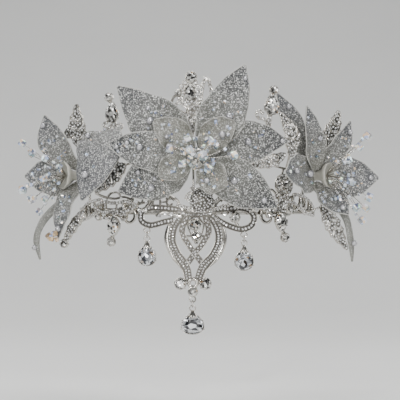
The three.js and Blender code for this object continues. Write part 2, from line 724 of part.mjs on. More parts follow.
const CENTRE_SEAT = V(-1, -(HEAD_HALF_DEPTH + 0.8 + WIRE_RADIUS + SEAT_GAP), 50);
add('centre_finial', fused([
  strip(rows([[-2, 0], [-1.4, 10], [-1, 20]]), 4.6, { samples: 4 }),
  plate(circlePoints(-0.8, 16.3, 5, 12), { holes: [circlePoints(2.2, 17.6, 0.8, 6), circlePoints(-3.2, 14, 0.8, 6)] }),
  strip(spiral({ x: -8.2, z: 15.6, radius: 4.4, turns: 0.85, start: -70, way: -1 }), 2, { samples: 7 }),
  strip(rows([[-6.5, 11.4], [-3, 9.5], [-1, 6]]), 2, { samples: 4 }),
  strip(rows([[-9, 17.6], [-9.8, 23.6]]), 1.6, { samples: 1 }),
  roundStone(-9.8, 23.6, 1.8),
  strip(rows([[4.4, 17.5], [4.6, 26], [7.4, 34], [10, 26], [10, 17.5], [7.2, 12.5]]), 2.2, { closed: true, samples: 10 }),
  strip(rows([[7.2, 13], [1, 6]]), 3, { samples: 1 }),
  setStone(circlePoints(-2.6, 24.1, 4.5, 10, 0.86), new THREE.Vector2(-2.6, 24.1)),
  strip(rows([[-2.6, 27], [-2, 33]]), 2, { samples: 1 }),
  roundStone(-2, 33.1, 3.3, { sides: 10 }),
]), 'pave', new THREE.Matrix4().makeTranslation(CENTRE_SEAT));

// Small crests and pendants: where each sits, which way it faces and what it is made of.
const LEFT_FINIAL = { at: V(-50, -71.4, 50), azimuth: -24 };
const RIGHT_FINIAL = { at: V(44, -76, 54), azimuth: 24 };
const LEFT_LOW = { angle: -39, azimuth: -38 };
const RIGHT_LOW = { angle: 40.5, azimuth: 38 };

function standing({ at, azimuth }) {
  return frameAlong(UP, facing(azimuth)).setPosition(at);
}
function onBand({ angle, azimuth }, height = BAND_HEIGHT / 2) {
  return frameAlong(UP, facing(azimuth)).setPosition(onOval(angle, height, BAND_THICKNESS + SEAT_GAP));
}

add('left_finial', fused([
  strip(rows([[1, -1], [0.4, 5], [-2, 10]]), 3, { samples: 3 }),
  strip(spiral({ x: -5.6, z: 5.6, radius: 3.2, turns: 0.9, start: 10, way: -1 }), 1.9, { samples: 7 }),
  strip(spiral({ x: 3.4, z: 4.9, radius: 2.6, turns: 0.9, start: 190, way: 1 }), 1.6, { samples: 7 }),
  pearStone(-1.6, 13.2, 9.4, 12.4),
  strip(rows([[-2.2, 17], [-3.6, 22]]), 2, { samples: 1 }),
  roundStone(-3.8, 22.6, 2.5),
]), 'pave', standing(LEFT_FINIAL));

add('right_finial', fused([
  strip(rows([[0, -1], [0.6, 5], [2, 10]]), 3, { samples: 3 }),
  strip(spiral({ x: -5.4, z: 8, radius: 3.4, turns: 0.9, start: -60, way: -1 }), 2, { samples: 7 }),
  strip(rows([[-3.6, 5], [0.4, 2.4]]), 2, { samples: 1 }),
  pearStone(2.3, 13.6, 10.6, 12.4),
  strip(rows([[2.6, 18], [3.6, 22]]), 2, { samples: 1 }),
  roundStone(3.7, 22.6, 2.6),
]), 'pave', standing(RIGHT_FINIAL));

// Pierced scrolls that hide the band beside a low finial. `hand` is the side of the longer arm.
function bandScrolls(hand) {
  const arm = (list) => rows(list.map(([x, z]) => [hand * x, z]));
  return [
    strip(arm([[-16, 2.6], [-8, 6], [0, 4.6], [9, 6.4], [19, 3.4]]), 1.9, { samples: 7, ...raised }),
    strip(arm([[-16, 2.6], [-9, -0.6], [0, 0.8], [9.4, 0], [19, 3.4]]), 1.9, { samples: 7, ...raised }),
    strip(arm([[-7.6, 5.8], [-7, -0.2]]), 1.6, { samples: 1, ...raised }),
    strip(arm([[6.4, 6], [8.4, 0.4]]), 1.6, { samples: 1, ...raised }),
    strip(arm([[13, 5.6], [13.6, 1.2]]), 1.6, { samples: 1, ...raised }),
  ];
}

add('left_low_finial', fused([
  foot(),
  strip(rows([[0, 2], [0, -8]]), 3, { samples: 1, ...raised }),
  strip(spiral({ x: 7.4, z: -3.6, radius: 3.4, turns: 0.95, start: 150, way: -1 }), 1.8, { samples: 7, ...raised }),
  strip(rows([[4.6, -2.2], [0.4, 1]]), 1.8, { samples: 1, ...raised }),
  strip(spiral({ x: -5, z: -2.6, radius: 3.4, turns: 0.9, start: 30, way: 1 }), 1.8, { samples: 7, ...raised }),
  strip(rows([[-2.6, -1.2], [0.4, 0.4]]), 2, { samples: 1, ...raised }),
  strip(rows([[-6, -4.6], [-12.4, -3.6]]), 1.6, { samples: 1, ...raised }),
  roundStone(-12.6, -3.6, 1.9, raised),
  ...bandScrolls(1),
  pearStone(-0.4, -9.8, 10, 11.6, { turn: Math.PI - 0.15, ...raised }),
  strip(rows([[-1, -14], [-2, -19]]), 2, { samples: 1, ...raised }),
  roundStone(-2.2, -18.8, 2.5, raised),
]), 'pave', onBand(LEFT_LOW));

add('right_low_finial', fused([
  foot(),
  strip(rows([[0, 10], [0, -6]]), 3, { samples: 1, ...raised }),
  strip(spiral({ x: -8.6, z: -1.6, radius: 3.8, turns: 0.95, start: 30, way: 1 }), 1.9, { samples: 7, ...raised }),
  strip(rows([[-5.4, 0.2], [0, 3.4]]), 1.8, { samples: 1, ...raised }),
  strip(spiral({ x: 4, z: 9, radius: 3.2, turns: 0.95, start: 190, way: 1 }), 1.9, { samples: 7, ...raised }),
  strip(rows([[0, 2.6], [6.6, 1.8]]), 1.8, { samples: 1, ...raised }),
  roundStone(7, 1.8, 1.9, raised),
  ...bandScrolls(-1),
  pearStone(0.6, -6.8, 10.4, 11.8, { turn: Math.PI, ...raised }),
  strip(rows([[2, -11], [3.4, -16]]), 2, { samples: 1, ...raised }),
  roundStone(3.6, -16.2, 2.6, raised),
]), 'pave', onBand(RIGHT_LOW));

// Fan of ribs under the front flower, round a domed boss that is covered with stones.
const FAN = { x: 4.2, z: 2, ribs: 7, from: 14, to: 166, start: 1, reach: 16.5, ribWidth: 2.3, endShare: 0.7 };
const DOME = { x: 3.4, z: 8.2, radius: 7.4 };
const DOME_RINGS = [
  { scale: 1, y: 0 },
  { scale: 1, y: -PLATE_THICKNESS },
  { scale: 0.86, y: -2.8 },
  { scale: 0.58, y: -3.8 },
  { scale: 0.2, y: -4.2 },
];
const fanRibs = Array.from({ length: FAN.ribs }, (_, i) => {
  const angle = THREE.MathUtils.lerp(FAN.from, FAN.to, i / (FAN.ribs - 1)) * DEGREE;
  const reach = FAN.reach * (i % 2 ? 0.86 : 1);
  const at = (r) => [FAN.x + r * Math.cos(angle), FAN.z + r * Math.sin(angle)];
  return strip(rows([at(FAN.start), at(reach)]), FAN.ribWidth * FAN.endShare, { endWidth: FAN.ribWidth, samples: 1 });
});
const fan = laidRoundHead(fused([
  ringed(circlePoints(DOME.x, DOME.z, DOME.radius, 14), new THREE.Vector2(DOME.x, DOME.z), DOME_RINGS),
  strip(rows([[-6, 11], [-2.4, 14.2], [4.2, 16], [10.8, 14.2], [14.6, 11]]), 2, { samples: 8 }),
  ...fanRibs,
]));
fan.translate(0, ORNAMENT_BACK - PLATE_THICKNESS - 1.5 * SEAT_GAP, 0);
add('low_fan', fan, 'pave');

// Pavé leaves: foot and tip of each, the way it faces, its width and its notched lobes.
const LEAVES = [
  { name: 'left_high_leaf', base: V(-73, -44, 41.6), tip: V(-75.6, -46, 70), azimuth: -30, width: 15, lobes: 5, bend: 0, crestAngle: -68, sideLobe: { x: -7.2, z: 10.5, radius: 3.6 } },
  { name: 'right_high_leaf', base: V(80.5, -42, 43), tip: V(90.7, -42, 66.2), azimuth: 35, width: 14, lobes: 5, bend: 0, crestAngle: 68 },
  { name: 'right_crest_leaf', base: V(58.4, -70, 35.4), tip: V(51.4, -70, 63.4), azimuth: 30, width: 12.4, lobes: 6, bend: 3.4, crestAngle: 47 },
  { name: 'right_inner_leaf', base: V(54.8, -75, 37.4), tip: V(30.4, -86, 29.6), azimuth: 25, width: 9, lobes: 5, bend: -1.5, crestAngle: 41 },
  { name: 'left_inner_leaf', base: V(-42.8, -80, 31), tip: V(-62, -70, 13.5), azimuth: -30, width: 14, lobes: 5, bend: 0, crestAngle: -34 },
  { name: 'left_low_spray', base: V(-69.5, -55, 3.2), tip: V(-84.2, -48, -20.5), azimuth: -25, width: 8, lobes: 5, bend: 0, seat: { angle: -60, z: -2.4 }, stone: { inset: 2.4, radius: 2.5 } },
  { name: 'right_low_leaf', base: V(79.5, -46, 7), tip: V(96, -40, -22.8), azimuth: 25, width: 13, lobes: 6, bend: 1.5, seat: { angle: 62, z: 1 } },
];
const LEAF_SEAT = 0.06; // share of a leaf's length at which its wire meets it
const LEAF_BOW = 2;
const FILIGREE_FRONT = BAND_THICKNESS + SEAT_GAP + PLATE_THICKNESS; // out from the head's oval
const stems = [];
for (const leaf of LEAVES) {
  const direction = leaf.tip.clone().sub(leaf.base);
  const length = direction.length();
  const place = frameAlong(direction, facing(leaf.azimuth)).setPosition(leaf.base);
  const pieces = [leafPlate({ ...leaf, length, bow: LEAF_BOW })];
  if (leaf.sideLobe) {
    const { x, z, radius } = leaf.sideLobe;
    pieces.push(plate(circlePoints(x, z, radius, 8), { back: -0.5 * LEAF_BOW }));
  }
  if (leaf.stone) pieces.push(roundStone(0, length - leaf.stone.inset, leaf.stone.radius));
  if (leaf.seat) {
    const end = onOval(leaf.seat.angle, leaf.seat.z, FILIGREE_FRONT + 2 * SEAT_GAP);
    const root = V(leaf.bend * 0.2, -PLATE_THICKNESS / 2, 2);
    pieces.push(wire([root, end.applyMatrix4(place.clone().invert())]));
  } else {
    const seat = V(leaf.bend * Math.sin(Math.PI * LEAF_SEAT), WIRE_RADIUS + SEAT_GAP, LEAF_SEAT * length);
    stems.push({ from: 'crest', angle: leaf.crestAngle, seat: seat.applyMatrix4(place) });
  }
  add(leaf.name, fused(pieces), 'pave', place);
}

// Round pavé boss beside the right flower.
const BOSS = { at: V(54, -66.4, 18.4), azimuth: 38, radius: 7.2 };
const bossPlace = standing(BOSS);
add('right_round_cluster', fused([
  plate(circlePoints(0, 0, BOSS.radius, 12), {
    holes: [0, 1, 2, 3, 4].map((i) => circlePoints(
      4.6 * Math.cos(i * 72 * DEGREE), 4.6 * Math.sin(i * 72 * DEGREE), 0.9, 6)),
  }),
  roundStone(0, 0, 2.6, { cup: 2.8 }),
]), 'pave', bossPlace);
stems.push({ from: 'crest', angle: 45, seat: V(0, WIRE_RADIUS + SEAT_GAP, 5).applyMatrix4(bossPlace) });

// Pierced side strips that lie against the band.
function sideFiligree(hand, rise) {
  const slope = (x, z) => [hand * x, z + rise - 0.22 * x];
  const pieces = [
    strip(rows([slope(-16, 4.2), slope(0, 5.4), slope(18, 3)]), 2, { samples: 5 }),
    strip(rows([slope(-16, -2.6), slope(0, -4), slope(18, -2.2)]), 2, { samples: 5 }),
    strip(rows([slope(-16, 4.4), slope(-18.6, 0.8), slope(-16, -2.8)]), 2, { samples: 3 }),
    strip(rows([slope(18, 3.2), slope(20.4, 0.4), slope(18, -2.4)]), 2, { samples: 3 }),
  ];
  for (const x of [-9.6, -2.4, 4.8, 12]) {
    pieces.push(strip(rows([slope(x - 1.6, -3.4), slope(x + 0.6, 0.8), slope(x + 1.4, 4.6)]), 1.6, { samples: 2 }));
  }
  return fused(pieces);
}
add('left_side_filigree', wrapped(sideFiligree(-1, 1.6), -60, BAND_THICKNESS + SEAT_GAP), 'pave');
add('right_side_filigree', wrapped(sideFiligree(1, 5), 62, BAND_THICKNESS + SEAT_GAP), 'pave');

// ---------------------------------------------------------------- flowers

function flowerOn(point, axis, post = POST_RADIUS) {
  const unit = axis.clone().normalize();
  return { centre: point.clone().addScaledVector(unit, WIRE_RADIUS + SEAT_GAP), axis: unit, post };
}

const frontFlower = flowerOn(crestPoint(0).setX(1.2), V(0, -1, 0), FRONT_POST_RADIUS);
const leftFlower = flowerOn(crestPoint(-FLOWER_ANGLE), V(-0.86, -0.5, 0.03));
const rightFlower = flowerOn(crestPoint(FLOWER_ANGLE), V(0.86, -0.5, 0.03));

const FRONT_PETALS = [
  { name: 'front_petal_upper_left', tip: V(-47.2, -93, 77.4), level: 3.2, width: 31, sweep: -1, bow: 2, cup: 1, twist: 10, pearls: [{ u: 0.52, s: -0.1 }] },
  { name: 'front_petal_upper_right', tip: V(29.4, -97, 90), level: 8.5, width: 28, sweep: 1.5, bow: 3, cup: 1.5, twist: -8, pearls: [{ u: 0.44, s: 0.3 }] },
  { name: 'front_petal_right', tip: V(55.3, -93, 44.6), level: 5, width: 27, sweep: -4, bow: 2, cup: 1, twist: 8, pearls: [{ u: 0.52, s: 0 }] },
  { name: 'front_petal_lower_right', tip: V(48.4, -97, 4.8), level: 8.5, width: 27, bow: 3, cup: 1.5, twist: -6, pearls: [{ u: 0.4, s: 0 }, { u: 0.82, s: 0.1 }] },
  { name: 'front_petal_lower_left', tip: V(-46.6, -93, 14.2), level: 5, width: 30, bow: 2, cup: 1, twist: -8, pearls: [{ u: 0.58, s: -0.4 }] },
  { name: 'front_petal_left', tip: V(-53, -97, 42.5), level: 8.5, width: 25, bow: 3, cup: 1.5, twist: 6, pearls: [{ u: 0.6, s: 0.1 }] },
  { name: 'inner_petal_upper_left', tip: V(-25, -108, 56), level: 12, width: 19, sweep: 1.5, bow: 0, cup: 2.5, outline: ROUND_OUTLINE },
  { name: 'inner_petal_upper_right', tip: V(23, -108, 55.5), level: 12, width: 19, sweep: -2.5, bow: 0, cup: 2.5, outline: ROUND_OUTLINE, pearls: [{ u: 0.6, s: 0.3 }] },
  { name: 'inner_petal_lower_left', tip: V(-21.5, -112, 22.5), level: 15.5, width: 17, sweep: 1.5, bow: 0, cup: 3, outline: ROUND_OUTLINE },
  { name: 'inner_petal_lower', tip: V(7.5, -112, 12.5), level: 15.5, clear: 0.6, width: 20, sweep: -4, bow: 0, cup: 3, outline: ROUND_OUTLINE, pearls: [{ u: 0.56, s: 0.3 }] },
];
const LEFT_PETALS = [
  { name: 'left_petal_up', tip: V(-95.8, -52, 62.4), level: 5, clear: 1, width: 19.5, cup: 1.2, outline: LATE_OUTLINE, face: V(-0.35, -0.93, 0), through: [V(-88.6, -50.4, 43)] },
  { name: 'left_petal_back', tip: V(-109, -45, 24), level: 8, clear: 0.4, width: 26, bow: -4, cup: 1, outline: LATE_OUTLINE },
  { name: 'left_petal_down', tip: V(-86.5, -60, -15), level: 7, clear: 0.4, width: 14, cup: 1, face: V(-0.5, -0.85, 0), through: [V(-82.5, -58, 5)] },
  { name: 'left_petal_front', tip: V(-69.4, -88, 9), toward: V(-60, -82, 30), level: 6.6, clear: 1.2, width: 30, cup: 1, outline: HOOD_OUTLINE, side: V(0.92, -0.38, 0.1), through: [V(-67, -64, 42), V(-58, -78, 51), V(-60.5, -88, 38)], pearls: [{ u: 0.88, s: -0.2 }] },
  { name: 'left_sepal', tip: V(-99.5, -43, -29), level: 3.8, clear: 0.7, width: 5.4, cup: 0.4, outline: SEPAL_OUTLINE, side: V(0.94, -0.34, 0), through: [V(-84, -43, 10), V(-98, -43, -4), V(-102.2, -43, -16.5)] },
];
const RIGHT_PETALS = [
  { name: 'right_petal_far', tip: V(50.5, -66, 75.4), level: 4.6, width: 14.5, bow: 4, cup: 1, outline: LATE_OUTLINE, face: V(0.25, -0.95, 0.2) },
  { name: 'right_petal_up', tip: V(68.4, -74, 67), level: 9.4, width: 14.5, bow: 2, cup: 1.5, face: V(0.4, -0.9, 0), pearls: [{ u: 0.36, s: 0.3 }] },
  { name: 'right_petal_back', tip: V(98, -46, 59), level: 5, clear: 0.8, width: 13.6, cup: 1.2, face: V(0.45, -0.89, 0), through: [V(90.6, -47.9, 43.4)] },
  { name: 'right_petal_out', tip: V(116.2, -42, 23), level: 9.8, clear: 0.4, width: 28, bow: -5.4, cup: 1, outline: LATE_OUTLINE },
  { name: 'right_petal_front', tip: V(54.5, -86, 25.5), level: 7.4, width: 25, bow: 2, cup: 1, outline: BROAD_OUTLINE, face: V(0.3, -0.95, 0.2), pearls: [{ u: 0.24, s: 0 }] },
  { name: 'right_petal_down', tip: V(95.5, -58, 0), level: 7, clear: 1, width: 18, bow: -1, cup: 1, outline: LATE_OUTLINE, face: V(0.5, -0.85, 0) },
  { name: 'right_sepal', tip: V(99.4, -43, -30.3), level: 3.8, clear: 0.7, width: 5.4, cup: 0.4, outline: SEPAL_OUTLINE, side: V(0.94, 0.34, 0), through: [V(82.5, -43, 11), V(94.5, -43, 0), V(98.8, -43, -17)] },
];

for (const [flower, petals] of [[frontFlower, FRONT_PETALS], [leftFlower, LEFT_PETALS], [rightFlower, RIGHT_PETALS]]) {
  for (const row of petals) {
    const petal = flowerPetal(flower, row);
    add(petal.name, petal.geometry, 'petal').position.copy(petal.base);
  }
}

const FRONT_POST_LENGTH = 20;
const THROAT = { from: 12, depth: 6, wall: 1.3 };
const THROAT_RADII = { left: 8.6, right: 8 };
add('front_flower_post', flowerPost(frontFlower, FRONT_POST_LENGTH), 'metal').position.copy(frontFlower.centre);
add('left_throat', flowerPost(leftFlower, 12.6, 5.5, { ...THROAT, radius: THROAT_RADII.left }), 'throat').position.copy(leftFlower.centre);
add('right_throat', flowerPost(rightFlower, 12.6, 5.5, { ...THROAT, radius: THROAT_RADII.right }), 'throat').position.copy(rightFlower.centre);

const FRONT_BEADS = [
  { x: 4.2, y: -123, z: 34.9, radius: 4.2 }, { x: -3.8, y: -118, z: 38.4, radius: 2.8 },
  { x: -15.6, y: -116, z: 39.4, radius: 2.6 }, { x: -5, y: -116, z: 45.6, radius: 2.5 },
  { x: 9.4, y: -116.5, z: 43.8, radius: 2.7 }, { x: 22.6, y: -115, z: 35.4, radius: 2.5 },
  { x: 7.2, y: -119, z: 27.2, radius: 2.5 }, { x: -8.6, y: -117, z: 30.2, radius: 2.5 },
];
const LEFT_BEADS = [
  { x: -110, y: -50, z: 45, radius: 2.8 }, { x: -103.4, y: -55, z: 38.6, radius: 2.6 },
  { x: -110, y: -50, z: 15.4, radius: 3 }, { x: -104, y: -56, z: 9.4, radius: 2.8 },
  { x: -94, y: -66, z: 35, radius: 2.3 }, { x: -95, y: -66, z: 22.4, radius: 2.4 },
  { x: -94.4, y: -65, z: 10, radius: 2.3 }, { x: -98.4, y: -61, z: 1.6, radius: 2.4 },
];
const RIGHT_BEADS = [
  { x: 108.4, y: -50, z: 49.6, radius: 3 }, { x: 102.6, y: -55, z: 42.4, radius: 2.8 },
  { x: 109, y: -54, z: 10.8, radius: 2.9 }, { x: 104.2, y: -58, z: -3.6, radius: 2.9 },
  { x: 106.8, y: -56, z: 3.9, radius: 2.7 }, { x: 100.4, y: -62, z: 4.2, radius: 2.8 },
  { x: 96, y: -66, z: 20.2, radius: 2.4 },
  { x: 95, y: -66, z: 34, radius: 2.3 },
];
const SPRAYS = [
  { name: 'front_crystals', flower: frontFlower, level: FRONT_POST_LENGTH, beads: FRONT_BEADS },
  { name: 'left_crystals', flower: leftFlower, level: THROAT.from + 0.3 * THROAT.depth, beads: LEFT_BEADS },
  { name: 'right_crystals', flower: rightFlower, level: THROAT.from + 0.3 * THROAT.depth, beads: RIGHT_BEADS },
];
for (const { name, flower, level, beads } of SPRAYS) {
  const seat = flower.centre.clone().addScaledVector(flower.axis, level + SEAT_GAP);
  add(name, crystalSpray(seat, flower.axis, beads), 'crystal').position.copy(seat);
}

// ---------------------------------------------------------------- the frame

const crest = Array.from({ length: CREST_SEGMENTS + 1 }, (_, i) =>
  crestPoint(THREE.MathUtils.lerp(-CREST_END_ANGLE, CREST_END_ANGLE, i / CREST_SEGMENTS)));
const behind = (piece, x, height) => V(x, WIRE_RADIUS + SEAT_GAP, height).applyMatrix4(standing(piece));
stems.push(
  { from: 'crest', angle: -39, seat: behind(LEFT_FINIAL, 0, 4) },
  { from: 'crest', angle: 34.5, seat: behind(RIGHT_FINIAL, 0, 4) },
  { from: 'band', angle: -1, seat: CENTRE_SEAT.clone().add(V(-1, WIRE_RADIUS + SEAT_GAP, 8)) },
  ...[-FLOWER_ANGLE, -20, 20, FLOWER_ANGLE].map((angle) => ({ from: 'band', angle, seat: crestPoint(angle) })),
);
const END_LOOP = { radius: 3, wire: 0.8, past: 1.7 }; // past: degrees beyond the band's end
const endLoops = [-1, 1].map((hand) => wireRing(
  onOval(hand * (BAND_END_ANGLE + END_LOOP.past), BAND_HEIGHT / 2, BAND_THICKNESS / 2),
  END_LOOP.radius, END_LOOP.wire, onOval(hand * BAND_END_ANGLE, 0).normalize(),
));
add('crown_frame', fused([bandStrip(), wire(crest, WIRE_RADIUS, 2 * CREST_SEGMENTS - 2), ...stems.map(stem), ...endLoops]), 'metal');

export default crown;
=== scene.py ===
# %% [markdown]
# # A bridal crown
# This lesson dresses a bridal crown that was already made as plain solids. The solids give
# every piece its size and place. Here they get what the eye sees: glittered petals, stones
# set close together in plated metal, pearls, and crystals on wires.
#
# Lengths are written in millimetres and turned to metres once, when a mesh is made.

import math

import bmesh
import bpy
import numpy as np
from mathutils import Matrix, Vector
from mathutils.kdtree import KDTree


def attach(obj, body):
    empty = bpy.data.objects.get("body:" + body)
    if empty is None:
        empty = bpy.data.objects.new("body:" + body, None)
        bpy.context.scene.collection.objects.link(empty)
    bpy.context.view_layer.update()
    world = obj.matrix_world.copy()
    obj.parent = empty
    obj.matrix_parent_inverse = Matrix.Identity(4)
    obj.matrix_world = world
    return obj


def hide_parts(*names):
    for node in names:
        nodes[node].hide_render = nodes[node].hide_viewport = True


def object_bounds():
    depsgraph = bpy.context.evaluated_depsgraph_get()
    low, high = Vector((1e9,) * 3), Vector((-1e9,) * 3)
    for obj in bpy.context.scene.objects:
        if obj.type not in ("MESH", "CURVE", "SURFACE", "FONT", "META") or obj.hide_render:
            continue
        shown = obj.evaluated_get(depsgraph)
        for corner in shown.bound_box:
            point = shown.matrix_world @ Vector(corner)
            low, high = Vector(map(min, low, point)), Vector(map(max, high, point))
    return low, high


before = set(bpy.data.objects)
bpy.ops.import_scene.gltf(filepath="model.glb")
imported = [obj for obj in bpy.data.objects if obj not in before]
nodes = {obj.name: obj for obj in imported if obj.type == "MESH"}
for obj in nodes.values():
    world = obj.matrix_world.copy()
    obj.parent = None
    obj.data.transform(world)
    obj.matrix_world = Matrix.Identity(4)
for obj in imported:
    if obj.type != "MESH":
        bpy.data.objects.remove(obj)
cad_low, cad_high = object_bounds()
MM = 0.001
print("solids:", len(nodes), "box in mm:", [round(v / MM, 1) for v in cad_high - cad_low])

# %% [markdown]
# ## Camera and light
# A long lens from straight in front keeps the crown's width true. The light is a large soft
# panel at each side and one above. Cut stones and metal only sparkle when they have both
# bright and dark things to mirror, so the room between the panels is left dim, and three
# small bright panels give the glints. This cell is in metres and watts.

# %% Camera and light panels
PANELS = {  # place, width and height, power
    "left_panel": ((-0.75, -0.85, 0.55), (0.5, 0.7), 6.5),
    "right_panel": ((0.85, -0.75, 0.35), (0.35, 0.6), 3.6),
    "top_panel": ((0.0, -0.1, 1.0), (0.7, 0.5), 11),
    "front_strip": ((0.12, -1.1, 0.42), (0.3, 0.08), 2),
    "low_strip": ((-0.25, -0.9, -0.05), (0.06, 0.2), 0.8),
    "back_left_panel": ((-0.9, 0.7, 0.5), (0.5, 0.6), 4),
    "back_right_panel": ((0.9, 0.7, 0.4), (0.5, 0.6), 4),
    "spark_left": ((-0.3, -1.15, 0.28), (0.05, 0.05), 3.2),
    "spark_right": ((0.22, -1.2, 0.16), (0.04, 0.04), 1.8),
    "spark_high": ((0.1, -0.9, 0.7), (0.05, 0.05), 1.2),
}
CROWN_MIDDLE = Vector((0, -0.05, 0))
scene = bpy.context.scene


def placed(name, data, place):
    """A new object in the scene."""
    made = bpy.data.objects.new(name, data)
    made.location = place
    scene.collection.objects.link(made)
    return made


lens = bpy.data.cameras.new("portrait_lens")
lens.lens = 135
lens.sensor_width = 36
scene.camera = placed("camera", lens, (0.0024, -1.0, 0.009))
scene.camera.rotation_euler = (math.radians(90), 0, 0)
for name, (place, size, power) in PANELS.items():
    lamp = bpy.data.lights.new(name, "AREA")
    lamp.shape = "RECTANGLE"
    lamp.size, lamp.size_y = size
    lamp.energy = power
    aim = (CROWN_MIDDLE - Vector(place)).to_track_quat("-Z", "Y")
    placed(name, lamp, place).rotation_euler = aim.to_euler()
print("light panels:", len(PANELS))


# %% Colours and nodes
def linear(code):
    """A six-figure sRGB code as the linear colour that a shader reads."""
    parts = [int(code[i:i + 2], 16) / 255 for i in (1, 3, 5)]
    return [p / 12.92 if p <= 0.04045 else ((p + 0.055) / 1.055) ** 2.4 for p in parts] + [1.0]


def feed(node, values):
    """Gives a node its values by field, input name or number. A socket is linked, the rest is set."""
    for key, value in values.items():
        if isinstance(key, str) and hasattr(node, key):
            setattr(node, key, value)
        elif isinstance(value, bpy.types.NodeSocket):
            node.id_data.links.new(value, node.inputs[key])
        else:
            node.inputs[key].default_value = value


def wire_in(tree, kind, values=None, out=0):
    """Adds a node with its values and gives back one of its outputs."""
    made = tree.nodes.new("ShaderNode" + kind)
    feed(made, values or {})
    return made.outputs[out]


def blend_colours(tree, first, second, share):
    """Colour between two, by a share. A colour is a code or another node's output."""
    pair = [linear(colour) if isinstance(colour, str) else colour for colour in (first, second)]
    return wire_in(tree, "Mix", {"data_type": "RGBA", "Factor": share, 6: pair[0], 7: pair[1]}, 2)


world = bpy.data.worlds.new("studio")
world.use_nodes = True
scene.world = world
feed(world.node_tree.nodes["Background"], {"Color": linear("#A9ACB0"), "Strength": 0.3})


# %% Working on meshes
def only(*pieces):
    """Selects these objects and nothing else. The first one is the active one."""
    bpy.ops.object.select_all(action="DESELECT")
    for piece in pieces:
        piece.select_set(True)
    bpy.context.view_layer.objects.active = pieces[0]


def added(kind, **settings):
    """A primitive mesh, alone in the selection."""
    bpy.ops.object.select_all(action="DESELECT")
    getattr(bpy.ops.mesh, "primitive_" + kind + "_add")(**settings)
    return bpy.context.object


def mesh_object(points, edges, faces):
    """An object from points in metres."""
    made = bpy.data.meshes.new("mesh")
    made.from_pydata(points, edges, faces)
    return placed("piece", made, (0, 0, 0))


def apply_modifier(piece, kind, **settings):
    """Adds a modifier with its settings and applies it."""
    only(piece)
    made = piece.modifiers.new(kind.lower(), kind)
    for key, value in settings.items():
        setattr(made, key, value)
    bpy.ops.object.modifier_apply(modifier=made.name)


def merged(piece, gap, outwards=True):
    """Joins the points that lie within a gap, in metres, and turns the faces outwards."""
    only(piece)
    bpy.ops.object.mode_set(mode="EDIT")
    bpy.ops.mesh.select_all(action="SELECT")
    bpy.ops.mesh.remove_doubles(threshold=gap)
    if outwards:
        bpy.ops.mesh.normals_make_consistent(inside=False)
    bpy.ops.object.mode_set(mode="OBJECT")
    return piece


def smooth(piece, angle=None):
    """Smooth shading, everywhere or only over edges flatter than an angle in degrees."""
    only(piece)
    if angle:
        bpy.ops.object.shade_smooth_by_angle(angle=math.radians(angle))
    else:
        bpy.ops.object.shade_smooth()
    return piece


def at_origin(piece):
    """Puts an object's place, turn and size into its mesh."""
    only(piece)
    bpy.ops.object.transform_apply(location=True, rotation=True, scale=True)
    return piece


def joined(pieces):
    """Several meshes as one."""
    only(*pieces)
    if len(pieces) > 1:
        bpy.ops.object.join()
    return pieces[0]


def own_mesh(piece, name, material, cad_nodes=(), body="crown"):
    """Names a finished piece, gives it its finish and lets it ride on its body."""
    piece.name = piece.data.name = name
    piece.data.materials.clear()
    piece.data.materials.append(material)
    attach(piece, body)
    if cad_nodes:
        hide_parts(*cad_nodes)
    return piece


# %% [markdown]
# The floor is a plain sheet that curves up behind the crown. It is one plane: its back edge is
# pulled up in edit mode and the fold is rounded with a bevel.

# %% Floor
FLOOR_DROP = 0.045  # how far the sheet lies below the lowest stone, in metres
floor = added("plane", size=6, location=(0, -1.6, cad_low.z - FLOOR_DROP))
floor.name = "floor"
bpy.ops.object.mode_set(mode="EDIT")
bpy.ops.mesh.select_all(action="DESELECT")
bpy.ops.object.mode_set(mode="OBJECT")
for edge in floor.data.edges:
    edge.select = all(floor.data.vertices[i].co.y > 0 for i in edge.vertices)
bpy.ops.object.mode_set(mode="EDIT")
bpy.ops.mesh.select_mode(type="EDGE")
bpy.ops.mesh.extrude_region_move(TRANSFORM_OT_translate={"value": (0, 0, 3)})
bpy.ops.object.mode_set(mode="OBJECT")
apply_modifier(floor, "BEVEL", width=0.9, segments=12)
smooth(floor)

# Matt paper: its fibres are barely seen.
paper = bpy.data.materials.new("studio_paper")
paper.use_nodes = True
fibre = wire_in(paper.node_tree, "TexNoise", {"Scale": 60.0, "Detail": 3.0})
paper_tone = blend_colours(paper.node_tree, "#DFDFDD", "#E4E4E2", fibre)
feed(paper.node_tree.nodes["Principled BSDF"], {"Roughness": 0.9, "Base Color": paper_tone})
floor.data.materials.append(paper)
print("floor", round(-(cad_low.z - FLOOR_DROP) / MM), "mm below the origin")

# %% [markdown]
# ## Finishes
# Each finish is named for the real one. All of them read the object's own coordinates, or for
# petals the map that runs from base to tip, so the pattern keeps its size in millimetres.


# %% What the finishes share
def finish_named(name):
    """A new material, its node tree and the object's own coordinates in it."""
    made = bpy.data.materials.new(name)
    made.use_nodes = True
    tree = made.node_tree
    return made, tree, wire_in(tree, "TexCoord", out="Object")


def coat(tree, values):
    """Gives the Principled shader its values."""
    feed(tree.nodes["Principled BSDF"], values)


def clouds(tree, place, size_mm, detail=2.0, roughness=0.5):
    """Soft clouds of a size."""
    return wire_in(tree, "TexNoise", {"Scale": 1 / (size_mm * MM), "Detail": detail, "Roughness": roughness,
                                      "Vector": place})


def cells(tree, place, size_mm, randomness=1.0):
    """Distance from the middle of each cell, and the cell's random colour."""
    made = wire_in(tree, "TexVoronoi", {"Scale": 1 / (size_mm * MM), "Randomness": randomness,
                                        "Vector": place})
    return made, made.node.outputs["Color"]


